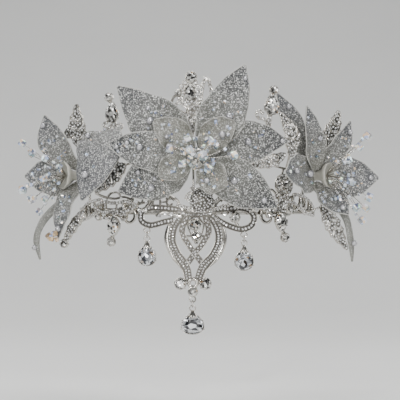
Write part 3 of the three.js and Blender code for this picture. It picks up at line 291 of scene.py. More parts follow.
def ranged(tree, value, low, high, to_low=0.0, to_high=1.0):
    """A value moved from one range to another."""
    return wire_in(tree, "MapRange", {"Value": value, "From Min": low, "From Max": high,
                                      "To Min": to_low, "To Max": to_high})


def step_over(tree, value, edge, soft=0.02):
    """0 below an edge and 1 above it, with a narrow slope between."""
    return ranged(tree, value, edge - soft, edge + soft)


def calc(tree, operation, *values, kind="Math"):
    """Result of one operation on numbers and sockets."""
    return wire_in(tree, kind, {"operation": operation, **dict(enumerate(values))})


def bumped(tree, height, strength, distance_mm):
    """Normal of a surface with a shallow relief."""
    return wire_in(tree, "Bump", {"Strength": strength, "Distance": distance_mm * MM, "Height": height})


def flakes(tree, cell_mm, tilt, place):
    """Cells of a size: two random numbers for each, and its own tilted normal."""
    colour = cells(tree, place, cell_mm)[1]
    centred = calc(tree, "SUBTRACT", colour, (0.5, 0.5, 0.5), kind="VectorMath")
    leaned = wire_in(tree, "VectorMath", {"operation": "SCALE", 0: centred, "Scale": tilt})
    facing = wire_in(tree, "NewGeometry", out="Normal")
    normal = calc(tree, "NORMALIZE", calc(tree, "ADD", leaned, facing, kind="VectorMath"), kind="VectorMath")
    chance = wire_in(tree, "SeparateColor", {"Color": colour}).node.outputs
    return chance["Red"], chance["Green"], normal


# %% [markdown]
# ### Glittered film
# The petals are a milky film under a coat of fine silver glitter. The film is thin and creamier near the
# base; towards the tip, where there is one layer, its colour is painted greyer and darker: painted shade,
# standing for dark showing through the thin film. Real glitter is about 0.2 mm. It is drawn coarser here so
# that it still shows from a metre away.

# %% Glittered film
GLITTER_MM = 0.4
SPECK_MM = 1.0  # distance between the specks, the glitter's painted glints
GLITTER_TILT = 0.5


def glittered_film(name, near, far, wide_share, sparkle):
    """Film colour runs from `near` at the base to `far` at the tip.

    `wide_share` is how much of it is fine glitter, `sparkle` how bright its specks are: painted glints.
    """
    made, tree, place = finish_named(name)
    along = wire_in(tree, "SeparateXYZ", {"Vector": place.node.outputs["UV"]}, "X")
    # The colour turns towards the far colour along the petal: painted shade at the tip, broken up by clouds.
    reach = calc(tree, "MULTIPLY_ADD", along, 1.25, -0.22)
    painted_tip_shade_and_clouds = calc(tree, "MULTIPLY_ADD", clouds(tree, place, 6, 4.0), 0.5, reach)
    film = blend_colours(tree, near, far, ranged(tree, painted_tip_shade_and_clouds, 0.15, 1.1))
    chance, other, normal = flakes(tree, GLITTER_MM, GLITTER_TILT, place)
    distance, luck = cells(tree, place, SPECK_MM, 0.7)
    # Specks: soft round bright dots of random strength, painted glints in the base colour.
    painted_glint = calc(tree, "MULTIPLY", ranged(tree, distance, 0.46, 0.22),
                 wire_in(tree, "SeparateColor", {"Color": luck}, "Blue"))
    lit = calc(tree, "MULTIPLY", painted_glint, sparkle)
    fine = calc(tree, "MULTIPLY", step_over(tree, chance, 1 - wide_share, 0.05), 0.5)
    bright = calc(tree, "MAXIMUM", lit, fine)
    dark = calc(tree, "MULTIPLY", step_over(tree, other, 0.7, 0.2), 0.3)
    shaded = blend_colours(tree, film, "#4A4A48", dark)
    coat(tree, {"IOR": 1.46, "Coat Weight": 0.15, "Coat Roughness": 0.25, "Normal": normal,
                # The white is partly the glitter's own flake colour and partly painted glints; the smoother,
                # partly metallic surface there is real.
                "Base Color": blend_colours(tree, shaded, "#F0F0EC", bright),
                "Roughness": ranged(tree, bright, 0.0, 1.0, 0.5, 0.2),
                "Metallic": calc(tree, "MULTIPLY", bright, 0.45)})
    return made


# Far colours darker than the near ones are painted shade at the tips.
OUTER_FILM = glittered_film("glittered_film_outer", "#6E6E67", "#2B2C2E", 0.09, 0.9)
SIDE_FILM = glittered_film("glittered_film_side", "#73726B", "#494A4D", 0.08, 0.85)
INNER_FILM = glittered_film("glittered_film_inner", "#78776D", "#6C6B64", 0.08, 0.6)
SEPAL_FILM = glittered_film("glittered_film_sepal", "#74746E", "#777771", 0.05, 0.3)
print("glitter drawn every", GLITTER_MM, "mm, specks every", SPECK_MM, "mm")

# %% [markdown]
# ### Satin rim, milky throat and pearl
# The rims and the throats are the same milky resin with no glitter. A pearl is a bead with layers of lacquer:
# a broad lustre, a sharp small highlight on top, and a faint colour cast. Its colour is also painted darker
# towards its outline: painted shade.


# %% Resin and pearl
def milky_resin(name, light, shade, rough):
    """Satin resin with soft clouds in it and a faint grain."""
    made, tree, place = finish_named(name)
    coat(tree, {"Roughness": rough, "IOR": 1.5, "Coat Weight": 0.25, "Coat Roughness": 0.3,
                "Base Color": blend_colours(tree, light, shade, clouds(tree, place, 4, 3.0)),
                "Normal": bumped(tree, clouds(tree, place, 0.5), 0.25, 0.1)})
    return made


def lacquered_pearl(name, light, shade, edge):
    """Lacquer over a cloudy body that darkens towards the pearl's outline."""
    made, tree, place = finish_named(name)
    body = blend_colours(tree, light, shade, clouds(tree, place, 2.5))
    # Painted shade: the colour turns to the dark edge colour where the surface turns away from the view.
    painted_outline_shade = wire_in(tree, "LayerWeight", {"Blend": 0.35}, "Facing")
    coat(tree, {"Roughness": 0.22, "Metallic": 0.45, "IOR": 1.7, "Coat Weight": 1.0, "Coat Roughness": 0.08,
                "Coat IOR": 2.0, "Base Color": blend_colours(tree, body, edge, painted_outline_shade)})
    return made


RIM_RESIN = milky_resin("milky_resin_rim", "#B3B2AD", "#95948D", 0.35)
THROAT_RESIN = milky_resin("milky_resin_throat", "#B4B2A8", "#9C9A90", 0.36)
# Its last colour is the painted shade at the pearl's outline.
PEARL = lacquered_pearl("lacquered_pearl", "#B2B1AF", "#9696A0", "#4A4A52")

# %% [markdown]
# ### Plated metal
# The castings are white metal with a rhodium-coloured plate. Rhodium is bright and a little warm. A cast
# plate is polished on its edges, where a cloth wheel reaches, and stays rough between its stones, where it
# doesn't; there its colour is also painted dark, as painted shade in the recesses. The edges are marked in
# the mesh, in an attribute that the plate reads for both.


# %% Rhodium plate
def plated(name, light, shade, rough, grain_mm, relief, hollow=None):
    """Plated metal: `grain_mm` is the size of its skin, `hollow` the painted shade colour of its recesses,
    where no wheel reaches.
    """
    made, tree, place = finish_named(name)
    patch = clouds(tree, place, 3.2, 4.0, 0.6)
    colour = blend_colours(tree, light, shade, ranged(tree, patch, 0.45, 0.75))
    worn = ranged(tree, patch, 0.0, 1.0, rough * 0.7, rough * 1.5)
    # Painted shade: where the mark is low the colour turns to the dark hollow colour, in the recesses between
    # stones. The rougher surface there is real.
    if hollow:
        polish_and_shade = wire_in(tree, "Attribute", {"attribute_name": "polish_and_shade"}, "Fac")
        colour = blend_colours(tree, hollow, colour, polish_and_shade)
        worn = calc(tree, "MULTIPLY_ADD", polish_and_shade, -0.22, 0.38)
    skin = cells(tree, place, grain_mm)[0]
    coat(tree, {"Metallic": 1.0, "Base Color": colour, "Roughness": worn,
                "Normal": bumped(tree, skin, relief, 0.25)})
    return made


RHODIUM = plated("rhodium_plate_polished", "#C6C3BD", "#8F8A80", 0.16, 1.6, 0.12)
# The last colour of these two is the painted shade of their recesses.
CAST_RHODIUM = plated("rhodium_plate_cast", "#C4C1BA", "#8C867A", 0.2, 0.9, 0.3, "#54524D")
RAIL_RHODIUM = plated("rhodium_plate_rails", "#C8C5BE", "#928E86", 0.18, 2.4, 0.06, "#5A5752")
WIRE_METAL = plated("rhodium_plate_wire", "#BDBAB4", "#98948B", 0.2, 1.2, 0.08)

# %% [markdown]
# ### Cut stones
# The small stones and the drops have a foil at the back, so light comes back out of them as from broken
# mirror: bright and dark facets side by side. Each is given facets in its mesh and smaller tilted cells in
# its normal for the facets seen through its table; its colour is also painted in bright and dark cells,
# painted reflections, with a few painted warm glints. The wired crystals have a thin film on them instead,
# which splits light into blue and orange, and their colour has painted blue and orange glints and painted
# dark cells too.


# %% Foiled and film-coated crystal
def foiled(name, light, painted_dark_facets, cell_mm, tilt, mirror, flat=1.0, warm=0.0):
    """Stone with a foil behind it. `cell_mm` is the size of the facets seen inside, `mirror` how
    much of the light the foil sends back. `flat` makes the inner facets that many times as wide
    as they are high. `warm` is the share of them that glint warmly.
    """
    made, tree, place = finish_named(name)
    stretched = calc(tree, "MULTIPLY", place, (1 / flat, 1, flat), kind="VectorMath")
    chance, other, normal = flakes(tree, cell_mm, tilt, stretched)
    # Bright and dark cells in the base colour are painted reflections of light and of dark.
    colour = blend_colours(tree, light, painted_dark_facets, step_over(tree, chance, 0.52, 0.12))
    if warm:
        # Painted warm glints on a share of the cells.
        colour = blend_colours(tree, colour, "#B8966F", step_over(tree, other, 1 - warm))
    coat(tree, {"Metallic": mirror, "Roughness": 0.05, "Coat Weight": 0.8, "Coat Roughness": 0.02,
                "Coat IOR": 1.6, "Base Color": colour, "Normal": normal})
    return made


def filmed_crystal(name, film_nm, light, painted_dark_facets, clear):
    """Cut glass under a coloured film `film_nm` thick. `clear` is how much light goes through."""
    made, tree, place = finish_named(name)
    chance, other, normal = flakes(tree, 2.0, 0.3, place)
    # Painted glints: blue and orange cells in the base colour, beside the film's own colours. The second
    # colour gives painted dark cells inside the glass.
    glint = blend_colours(tree, "#B4C4EE", "#EBCDB2", step_over(tree, other, 0.5))
    plain = blend_colours(tree, light, painted_dark_facets, step_over(tree, other, 0.55, 0.2))
    coat(tree, {"Roughness": 0.03, "IOR": 1.6, "Transmission Weight": clear, "Thin Film Thickness": film_nm,
                "Thin Film IOR": 1.9, "Coat Weight": 1.0, "Coat Roughness": 0.02, "Normal": normal,
                "Base Color": blend_colours(tree, plain, glint, step_over(tree, chance, 0.72))})
    return made


# The second colour of each stone is its painted dark facets.
PAVE_STONE = foiled("foiled_rhinestone", "#FFFFFF", "#A6A5A3", 0.9, 0.3, 0.35)
MAIN_STONE = foiled("foiled_crystal", "#E2E1DC", "#3F3E3C", 1.3, 0.5, 0.7, warm=0.05)
DROP_STONE = foiled("cut_crystal", "#D6D9DD", "#26272C", 1.9, 0.6, 0.75, warm=0.08)
BANDED_STONE = foiled("cut_crystal_banded", "#E2E5E8", "#25262B", 2.4, 0.55, 0.7, 1.7)
# The amber one has no film; its blue and orange cells are painted glints alone.
RAINBOW_BEAD = filmed_crystal("film_coated_crystal", 380.0, "#EEF0FA", "#6C7088", 0.2)
AMBER_BEAD = filmed_crystal("amber_crystal", 0.0, "#CDB086", "#7C664A", 0.25)
print("finishes:", len(bpy.data.materials))

# %% [markdown]
# ## The head's oval and the flowers' places
# The crown is built round an oval head. The same few sizes that placed the solids place the
# dressed pieces: the oval, the wire that carries the flowers, and each flower's axis.

# %% The oval
HEAD_HALF_WIDTH = 76
HEAD_HALF_DEPTH = 92
BAND_HEIGHT = 4
BAND_THICKNESS = 1.6
SEAT_GAP = 0.3
WIRE_RADIUS = 0.9
PLATE_THICKNESS = 1.8
CREST_HEIGHT = 34
CREST_DROP = 10
FLOWER_ANGLE = 62
UP = Vector((0, 0, 1))
FORWARD = Vector((0, -1, 0))


def on_oval(angle, height, out=0.0):
    """Point of the oval grown outwards, at an angle from the front in degrees."""
    turn = math.radians(angle)
    wide, deep = HEAD_HALF_WIDTH + out, HEAD_HALF_DEPTH + out
    return Vector((wide * math.sin(turn), -deep * math.cos(turn), height))


def crest_point(angle):
    """Point of the upper wire's centre line."""
    return on_oval(angle, CREST_HEIGHT - CREST_DROP * (angle / FLOWER_ANGLE) ** 2, BAND_THICKNESS / 2)


def fall_back(x):
    """How far behind the frontmost point the oval lies at this x."""
    share = min(abs(x) / HEAD_HALF_WIDTH, 0.97)
    return HEAD_HALF_DEPTH * (1 - math.sqrt(1 - share * share))


def flower_on(point, axis, post):
    """A flower's middle and axis, with the radius of the post its petals spring from."""
    axis = Vector(axis).normalized()
    return {"centre": point + axis * (WIRE_RADIUS + SEAT_GAP), "axis": axis, "post": post}


front_root = crest_point(0)
front_root.x = 1.2
FLOWERS = {
    "front": flower_on(front_root, FORWARD, 5),
    "left": flower_on(crest_point(-FLOWER_ANGLE), (-0.86, -0.5, 0.03), 3),
    "right": flower_on(crest_point(FLOWER_ANGLE), (0.86, -0.5, 0.03), 3),
}
print("flowers at", {k: [round(v, 1) for v in f["centre"]] for k, f in FLOWERS.items()})


# %% A smooth curve through points
def curve_point(points, share):
    """Place on a centripetal Catmull-Rom curve, which never loops or overshoots."""
    last = len(points) - 1
    i = min(int(share * last), last - 1)
    w = share * last - i
    near, far = points[i], points[i + 1]
    before = points[i - 1] if i > 0 else 2 * near - far
    after = points[i + 2] if i + 2 <= last else 2 * far - near
    a, b, c = ((q - p).length ** 0.5 for p, q in ((before, near), (near, far), (far, after)))
    leave = ((near - before) / a - (far - before) / (a + b) + (far - near) / b) * b
    reach = ((far - near) / b - (after - near) / (b + c) + (after - far) / c) * b
    rest = far - near
    return near + leave * w + (3 * rest - 2 * leave - reach) * w ** 2 + (leave + reach - 2 * rest) * w ** 3


def curve_way(points, share):
    """Direction of the curve there."""
    low, high = max(share - 1e-3, 0), min(share + 1e-3, 1)
    return (curve_point(points, high) - curve_point(points, low)).normalized()


# %% [markdown]
# ## Petals
# A lily petal is one sheet: narrow where it leaves the post, widest before its middle, pointed
# at the tip. It is easiest to make from a flat grid whose two directions are the petal's own:
# along it and across it. Each row of the grid is set on a curved spine at the petal's width
# there, cupped, and frilled towards its edges. A Solidify modifier then gives it a thickness.

# %% Outlines and rows of the petals
OUTLINES = {  # share of the length, share of half the width
    "lily": ((0, 0.2), (0.12, 0.6), (0.28, 0.93), (0.42, 1), (0.6, 0.88), (0.8, 0.54), (1, 0.05)),
    "late": ((0, 0.2), (0.2, 0.5), (0.4, 0.9), (0.58, 1), (0.8, 0.68), (1, 0.05)),
    "hood": ((0, 0.2), (0.25, 0.32), (0.38, 0.4), (0.5, 0.72), (0.62, 1), (0.75, 0.98), (0.88, 0.7),
             (1, 0.05)),
    "broad": ((0, 0.24), (0.2, 0.84), (0.4, 1), (0.6, 0.94), (0.8, 0.62), (1, 0.08)),
    "round": ((0, 0.34), (0.2, 0.78), (0.42, 1), (0.65, 0.94), (0.85, 0.6), (1, 0.12)),
    "sepal": ((0, 0.7), (0.3, 1), (0.75, 0.8), (1, 0.2)),
}
# Outline, tip, distance along the flower's axis, width, cup, and what else bends it.
PETALS = {
    "front": {
        "front_petal_upper_left": ("lily", (-47.2, -93, 77.4), 3.2, 31, 1, dict(sweep=-1, bow=2, twist=10)),
        "front_petal_upper_right": ("lily", (29.4, -97, 90), 8.5, 28, 1.5, dict(sweep=1.5, bow=3, twist=-8)),
        "front_petal_right": ("lily", (55.3, -93, 44.6), 5, 27, 1, dict(sweep=-4, bow=2, twist=8)),
        "front_petal_lower_right": ("lily", (48.4, -97, 4.8), 8.5, 27, 1.5, dict(bow=3, twist=-6)),
        "front_petal_lower_left": ("lily", (-46.6, -93, 14.2), 5, 30, 1, dict(bow=2, twist=-8)),
        "front_petal_left": ("lily", (-53, -97, 42.5), 8.5, 25, 1.5, dict(bow=3, twist=6)),
        "inner_petal_upper_left": ("round", (-25, -108, 56), 12, 19, 2.5, dict(sweep=1.5)),
        "inner_petal_upper_right": ("round", (23, -108, 55.5), 12, 19, 2.5, dict(sweep=-2.5)),
        "inner_petal_lower_left": ("round", (-21.5, -112, 22.5), 15.5, 17, 3, dict(sweep=1.5)),
        "inner_petal_lower": ("round", (7.5, -112, 12.5), 15.5, 20, 3, dict(clear=0.6, sweep=-4)),
    },
    "left": {
        "left_petal_up": ("late", (-95.8, -52, 62.4), 5, 19.5, 1.2,
                          dict(clear=1, face=(-0.35, -0.93, 0), through=((-88.6, -50.4, 43),))),
        "left_petal_back": ("late", (-109, -45, 24), 8, 26, 1, dict(clear=0.4, bow=-4)),
        "left_petal_down": ("lily", (-86.5, -60, -15), 7, 14, 1,
                            dict(clear=0.4, face=(-0.5, -0.85, 0), through=((-82.5, -58, 5),))),
        "left_petal_front": ("hood", (-69.4, -88, 9), 6.6, 30, 1,
                             dict(clear=1.2, toward=(-60, -82, 30), side=(0.92, -0.38, 0.1),
                                  through=((-67, -64, 42), (-58, -78, 51), (-60.5, -88, 38)))),
        "left_sepal": ("sepal", (-99.5, -43, -29), 3.8, 5.4, 0.4,
                       dict(clear=0.7, side=(0.94, -0.34, 0),
                            through=((-84, -43, 10), (-98, -43, -4), (-102.2, -43, -16.5)))),
    },
    "right": {
        "right_petal_far": ("late", (50.5, -66, 75.4), 4.6, 14.5, 1, dict(bow=4, face=(0.25, -0.95, 0.2))),
        "right_petal_up": ("lily", (68.4, -74, 67), 9.4, 14.5, 1.5, dict(bow=2, face=(0.4, -0.9, 0))),
        "right_petal_back": ("lily", (98, -46, 59), 5, 13.6, 1.2,
                             dict(clear=0.8, face=(0.45, -0.89, 0), through=((90.6, -47.9, 43.4),))),
        "right_petal_out": ("late", (116.2, -42, 23), 9.8, 28, 1, dict(clear=0.4, bow=-5.4)),
        "right_petal_front": ("broad", (54.5, -86, 25.5), 7.4, 25, 1, dict(bow=2, face=(0.3, -0.95, 0.2))),
        "right_petal_down": ("late", (95.5, -58, 0), 7, 18, 1, dict(clear=1, bow=-1, face=(0.5, -0.85, 0))),
        "right_sepal": ("sepal", (99.4, -43, -30.3), 3.8, 5.4, 0.4,
                        dict(clear=0.7, side=(0.94, 0.34, 0),
                             through=((82.5, -43, 11), (94.5, -43, 0), (98.8, -43, -17)))),
    },
}


# %% Spine, width and surface of a petal
def petal_sheet(name, flower, outline, tip, level, width, cup, clear=0, sweep=0, bow=0, twist=0,
                toward=None, face=None, side=None, through=()):
    """A function that turns (along, across) into a place and the way the petal faces there.

    The petal springs from its post, with a gap of `clear`, in the direction of its tip or of
    `toward`. Its spine passes the points `through`, or bends forwards by `bow` and sideways by
    `sweep`. It lies square to `side`, or else to `face` or the flower's axis.
    """
    axis = flower["axis"]
    centre = flower["centre"] + axis * level
    tip = Vector(tip)
    outward = Vector(toward or tip) - centre
    outward -= axis * outward.dot(axis)
    base = centre + outward.normalized() * (flower["post"] + SEAT_GAP + clear)
    reach = tip - base
    face = Vector(face or axis)
    side = Vector(side) if side else reach.cross(face).normalized()
    middle = [Vector(p) for p in through] or [base + reach * 0.5 + face * bow + side * sweep]
    spine = [base, *middle, tip]
    half = 0.5 * width
    stations, widths = zip(*OUTLINES[outline])
    phase = sum(ord(letter) for letter in name)
    inner = outline == "round"
    frill = (0.16 if inner else 0.06) * width
    roll = 1.2 if inner else 0.3

    def at(u, s):
        way = curve_way(spine, u)
        across = (side - way * side.dot(way)).normalized()
        front = across.cross(way).normalized()
        turn = Matrix.Rotation(math.radians(twist) * (u - 0.5), 3, way)
        across, front = turn @ across, turn @ front
        share = float(np.interp(u, stations, widths))
        other_phase = phase if s > 0 else 2 * phase
        wander = 1 + 0.03 * math.sin(7 * u + phase) + 0.02 * math.sin(17 * u + other_phase)
        hollow = cup * s * s * share + 0.5 * abs(s) * math.sin(u * math.pi)
        edge = abs(s) ** 3 * min(1, 4 * u) * min(1, 5 * (1 - u) + 0.2)
        ruffle = frill * edge * math.sin(15 * u + phase + (1.9 if s > 0 else 0)) * share
        rib = -0.45 * math.exp(-(s / 0.07) ** 2) * (1 - u)
        crease = 0.16 * math.sin(16 * s + phase) * math.sin(u * math.pi)
        place = curve_point(spine, u) + across * (s * half * share * wander)
        place += front * (hollow + ruffle + rib + crease + roll * abs(s) ** 7 * share)
        return place, front

    return at


# %% Grid to petal
FILM_MM = 0.8
ROWS_ALONG = 36
ROWS_ACROSS = 18
SEPAL_ACROSS = 6
RIM_RADIUS = 0.36
INNER_RIM_RADIUS = 0.2


def round_wires(paths, radius, sides=6, closed=False):
    """Round wire along each path of points, as one mesh. Points are in millimetres."""
    line = bpy.data.curves.new("wire", "CURVE")
    line.dimensions = "3D"
    line.bevel_depth = radius * MM
    line.bevel_resolution = max(sides // 2 - 2, 0)
    line.use_fill_caps = True
    for path in paths:
        spline = line.splines.new("POLY")
        spline.points.add(len(path) - 1)
        for point, place in zip(spline.points, path):
            point.co = (*(Vector(place) * MM), 1)
        spline.use_cyclic_u = closed
    only(placed("wire", line, (0, 0, 0)))
    bpy.ops.object.convert(target="MESH")
    return smooth(bpy.context.object)


def film_petal(sheet, across):
    """The petal's film: a grid laid on its sheet and given a thickness."""
    piece = added("grid", x_subdivisions=ROWS_ALONG, y_subdivisions=across, size=2, location=(0, 0, 0))
    for vertex in piece.data.vertices:
        u, s = 0.5 * (vertex.co.x + 1), vertex.co.y
        vertex.co = sheet(u, s)[0] * MM
    apply_modifier(piece, "SOLIDIFY", thickness=FILM_MM * MM, offset=0)
    return smooth(piece)


def petal_rim(sheet, radius):
    """The bound edge: a thin roll of resin that follows the outline."""
    steps = [0.04 + 0.96 * i / ROWS_ALONG for i in range(ROWS_ALONG + 1)]
    path = [sheet(u, -1)[0] for u in steps] + [sheet(1, s)[0] for s in (-0.4, 0.4)]
    path += [sheet(u, 1)[0] for u in reversed(steps)]
    return round_wires([path], radius)


SHEETS = {}
for flower, rows in PETALS.items():
    for name, (outline, *sizes, bends) in rows.items():
        SHEETS[name] = sheet = petal_sheet(name, FLOWERS[flower], outline, *sizes, **bends)
        if outline == "sepal":
            own_mesh(film_petal(sheet, SEPAL_ACROSS), name + "_film", SEPAL_FILM, [name])
            continue
        inner = outline == "round"
        film = INNER_FILM if inner else OUTER_FILM if flower == "front" else SIDE_FILM
        own_mesh(film_petal(sheet, ROWS_ACROSS), name + "_film", film, [name])
        rim = petal_rim(sheet, INNER_RIM_RADIUS if inner else RIM_RADIUS)
        own_mesh(rim, name + "_rim", RIM_RESIN)
print("petals:", len(SHEETS), "with film", FILM_MM, "mm thick")

# %% [markdown]
# ## Pearls
# Pearls are sewn through the film with a single stitch, so each one sits against the petal.
# One ball is modelled and every pearl is a copy of it, scaled to its own size.


# %% Copies of one small mesh
def copies(master, places):
    """One mesh that holds a copy of the master at each 4 x 4 matrix. Lengths in millimetres."""
    corners = np.array([v.co for v in master.data.vertices])
    rings = [list(p.vertices) for p in master.data.polygons]
    places = [np.array(p) for p in places]
    points = np.concatenate([corners @ p[:3, :3].T + p[:3, 3] for p in places]) * MM
    starts = range(0, len(points), len(corners))
    faces = [[v + start for v in ring] for start in starts for ring in rings]
    piece = mesh_object(points.tolist(), [], faces)
    smoothed = [p.use_smooth for p in master.data.polygons]
    piece.data.polygons.foreach_set("use_smooth", smoothed * len(places))
    return piece


def set_at(place, out, size=1.0, spin=0.0, lean=0.0):
    """Matrix that stands a master on a place, its z along `out`."""
    turn = Vector(out).to_track_quat("Z", "Y").to_matrix().to_4x4()
    return (Matrix.Translation(Vector(place)) @ turn @ Matrix.Rotation(spin, 4, "Z")
            @ Matrix.Rotation(lean, 4, "X") @ Matrix.Scale(size, 4))


def retire(master):
    """Removes a master once its copies are made."""
    mesh = master.data
    bpy.data.objects.remove(master)
    bpy.data.meshes.remove(mesh)


def on_petal(petal, u, s):
    """Place on a petal's sheet, and the way its front faces there."""
    place, out = SHEETS[petal](u, s)
    return place, -out if out.y > 0 else out


# %% Pearls
PEARL_SINK = 0.08  # share of a pearl's diameter that lies in the film
# On each petal: place along and across it, and the pearl's diameter.
PEARLS = {
    "front_petal_upper_left": ((0.52, -0.1, 4.6), (0.62, 0.25, 3)),
    "front_petal_upper_right": ((0.44, 0.3, 4.6), (0.86, 0.6, 2.8)),
    "front_petal_right": ((0.52, 0, 4.6), (0.93, 0, 3)),
    "front_petal_lower_right": ((0.4, 0, 4.8), (0.82, 0.1, 4)),
    "front_petal_lower_left": ((0.58, -0.4, 4.6), (0.5, -0.1, 3), (0.66, 0.5, 3.2)),
    "front_petal_left": ((0.6, 0.1, 4.4), (0.76, 0.3, 3.2), (0.88, -0.2, 2.8)),
    "inner_petal_upper_right": ((0.6, 0.3, 4.4),),
    "inner_petal_lower": ((0.56, 0.3, 4),),
    "inner_petal_upper_left": ((0.6, -0.4, 3),),
    "left_petal_up": ((0.86, -0.5, 3.6),),
    "left_petal_front": ((0.88, -0.2, 4.6), (0.56, -0.7, 3.6)),
    "left_petal_down": ((0.86, 0, 3.8),),
    "left_sepal": ((0.84, -0.6, 3.6),),
    "right_petal_far": ((0.8, 0.4, 3.6),),
    "right_petal_up": ((0.5, 0.5, 3.6),),
    "right_petal_back": ((0.8, 0.5, 3.6),),
    "right_petal_out": ((0.9, 0, 3.4),),
    "right_petal_front": ((0.24, 0, 5), (0.7, 0.1, 3.8)),
    "right_petal_down": ((0.84, 0, 3.8),),
    "right_sepal": ((0.78, 0.6, 3.8),),
}
ball = smooth(added("uv_sphere", segments=16, ring_count=10, radius=1, location=(0, 0, 0)))
for flower in FLOWERS:
    spots = []
    for petal in (name for name in PEARLS if name in PETALS[flower]):
        for u, s, size in PEARLS[petal]:
            place, out = on_petal(petal, u, s)
            lift = (0.5 - PEARL_SINK) * size + FILM_MM / 2
            spots.append(set_at(place + out * lift, out, size / 2))
    own_mesh(copies(ball, spots), flower + "_flower_pearls", PEARL)
    print(flower, "flower:", len(spots), "pearls")

# %% [markdown]
# ## Cut stones
# A stone is cut as a ring of small faces round a flat table. The outline may be round or a
# pear; the faces follow it. Between the girdle and the table runs a ring of points, each
# halfway between two corners of the outline, and this makes the kites and stars of a real cut.


# %% Outlines and the cut
def round_outline(radius, sides=16):
    """Corners of a circle in the x-z plane."""
    turns = [2 * math.pi * i / sides for i in range(sides)]
    return [(radius * math.cos(turn), radius * math.sin(turn)) for turn in turns]


def pear_outline(width, height, sides=20, sharpness=0.7):
    """Corners of a pear, point upwards, its middle at the origin."""
    turns = [2 * math.pi * i / sides for i in range(sides)]
    across = [0.56 * width * math.sin(turn) * abs(math.sin(turn / 2)) ** sharpness for turn in turns]
    return [(x, 0.5 * height * math.cos(turn)) for x, turn in zip(across, turns)]


def cut_stone(outline, crown, depth, table=0.56, centre=(0, 0)):
    """A brilliant cut on any even outline, as points and faces: x across, y to the back, z up."""
    count = len(outline)
    half = count // 2
    cx, cz = centre

    def ring(corners, share, y):
        return [(cx + (x - cx) * share, y, cz + (z - cz) * share) for x, z in corners]

    odd, following = outline[1::2], outline[2::2] + outline[:1]
    middles = [((a + c) / 2, (b + d) / 2) for (a, b), (c, d) in zip(odd, following)]
    points = ring(outline, 1, 0) + ring(middles, 0.84, -0.62 * crown) + ring(outline[::2], table, -crown)
    points += ring(outline, 0.96, 0.25) + [(cx, depth, cz)]
    mid, top, low, culet = count, count + half, 2 * count, 3 * count
    faces = [[top + i for i in range(half)]]
    for i in range(half):
        girdle = 2 * i
        faces.append([top + i, mid + i, top + (i + 1) % half])
        faces.append([mid + i, girdle, (girdle + 1) % count])
        faces.append([mid + i, (girdle + 1) % count, (girdle + 2) % count])
        faces.append([top + i, mid + (i - 1) % half, girdle, mid + i])
    for i in range(count):
        j = (i + 1) % count
        faces.append([i, low + i, low + j, j])
        faces.append([low + i, culet, low + j])
    return points, faces


def solid_piece(points, faces):
    """Object of points in millimetres, joined up, with its faces turned outwards."""
    return merged(mesh_object([tuple(p * MM) for p in points], [], faces), 1e-4)


# %% [markdown]
# ## Castings
# The castings came as sharp plates. A real casting has soft edges, because the wax it was cast
# from had them. The plate is copied, turned into an even skin of small faces with Voxel Remesh,
# and smoothed: that rounds every edge by the same amount, however the holes lie.
#
# The front is then lowered inside a narrow rim, as a jeweller cuts a field for stones.
#
# Pavé is a field of small stones set edge to edge. Each goes where the plate still has room:
# many places are tried, the distance from each to the nearest rim of the plate says how large
# a stone fits, and the largest are set first. This gives neat rows on narrow strips.

# %% Where the main stones sit in each casting
ORNAMENT_BACK = -(HEAD_HALF_DEPTH + BAND_THICKNESS) - 1.5 * SEAT_GAP
CUP = 2.4  # how far a stone's cup stands off the back of its plate
CENTRE_SEAT = Vector((-1, -(HEAD_HALF_DEPTH + 0.8 + WIRE_RADIUS + SEAT_GAP), 50))
RAISED = -1.2  # the back of the pieces that stand off the band


def facing(azimuth):
    """Horizontal direction, degrees from straight ahead, positive to the right."""
    turn = math.radians(azimuth)
    return Vector((math.sin(turn), -math.cos(turn), 0))


def plate_at(base, azimuth, along=UP):
    """Matrix of a plate that stands on a point, runs along a direction and faces an azimuth."""
    back = -facing(azimuth)
    back = (back - along * back.dot(along)).normalized()
    basis = Matrix((back.cross(along), back, along)).transposed().to_4x4()
    return Matrix.Translation(Vector(base)) @ basis


def on_band(angle, azimuth):
    """Matrix of an upright plate whose back touches the band."""
    return plate_at(on_oval(angle, BAND_HEIGHT / 2, BAND_THICKNESS + SEAT_GAP), azimuth)


def round_head(x, y, z):
    """Place and slope of a point of the front ornament, which is bent round the head."""
    slope = fall_back(x + 0.5) - fall_back(x - 0.5)
    return Matrix.Translation(bent(Vector((x, y, z)))) @ Matrix.Rotation(math.atan(slope), 4, "Z")


def bent(place):
    """A point of the flat drawing, laid round the head."""
    return Vector((place.x, ORNAMENT_BACK + place.y + fall_back(place.x), place.z))


SPRAY_WAY = (Vector((-84.2, -48, -20.5)) - Vector((-69.5, -55, 3.2))).normalized()
AZIMUTHS = {  # the way each casting faces
    "front_ornament": 0, "centre_finial": 0, "left_finial": -24, "right_finial": 24, "left_low_finial": -38,
    "right_low_finial": 38, "right_round_cluster": 38, "low_fan": 0, "left_high_leaf": -30,
    "right_high_leaf": 35, "right_crest_leaf": 30, "right_inner_leaf": 25, "left_inner_leaf": -30,
    "left_low_spray": -25, "right_low_leaf": 25, "left_side_filigree": -60, "right_side_filigree": 62,
}
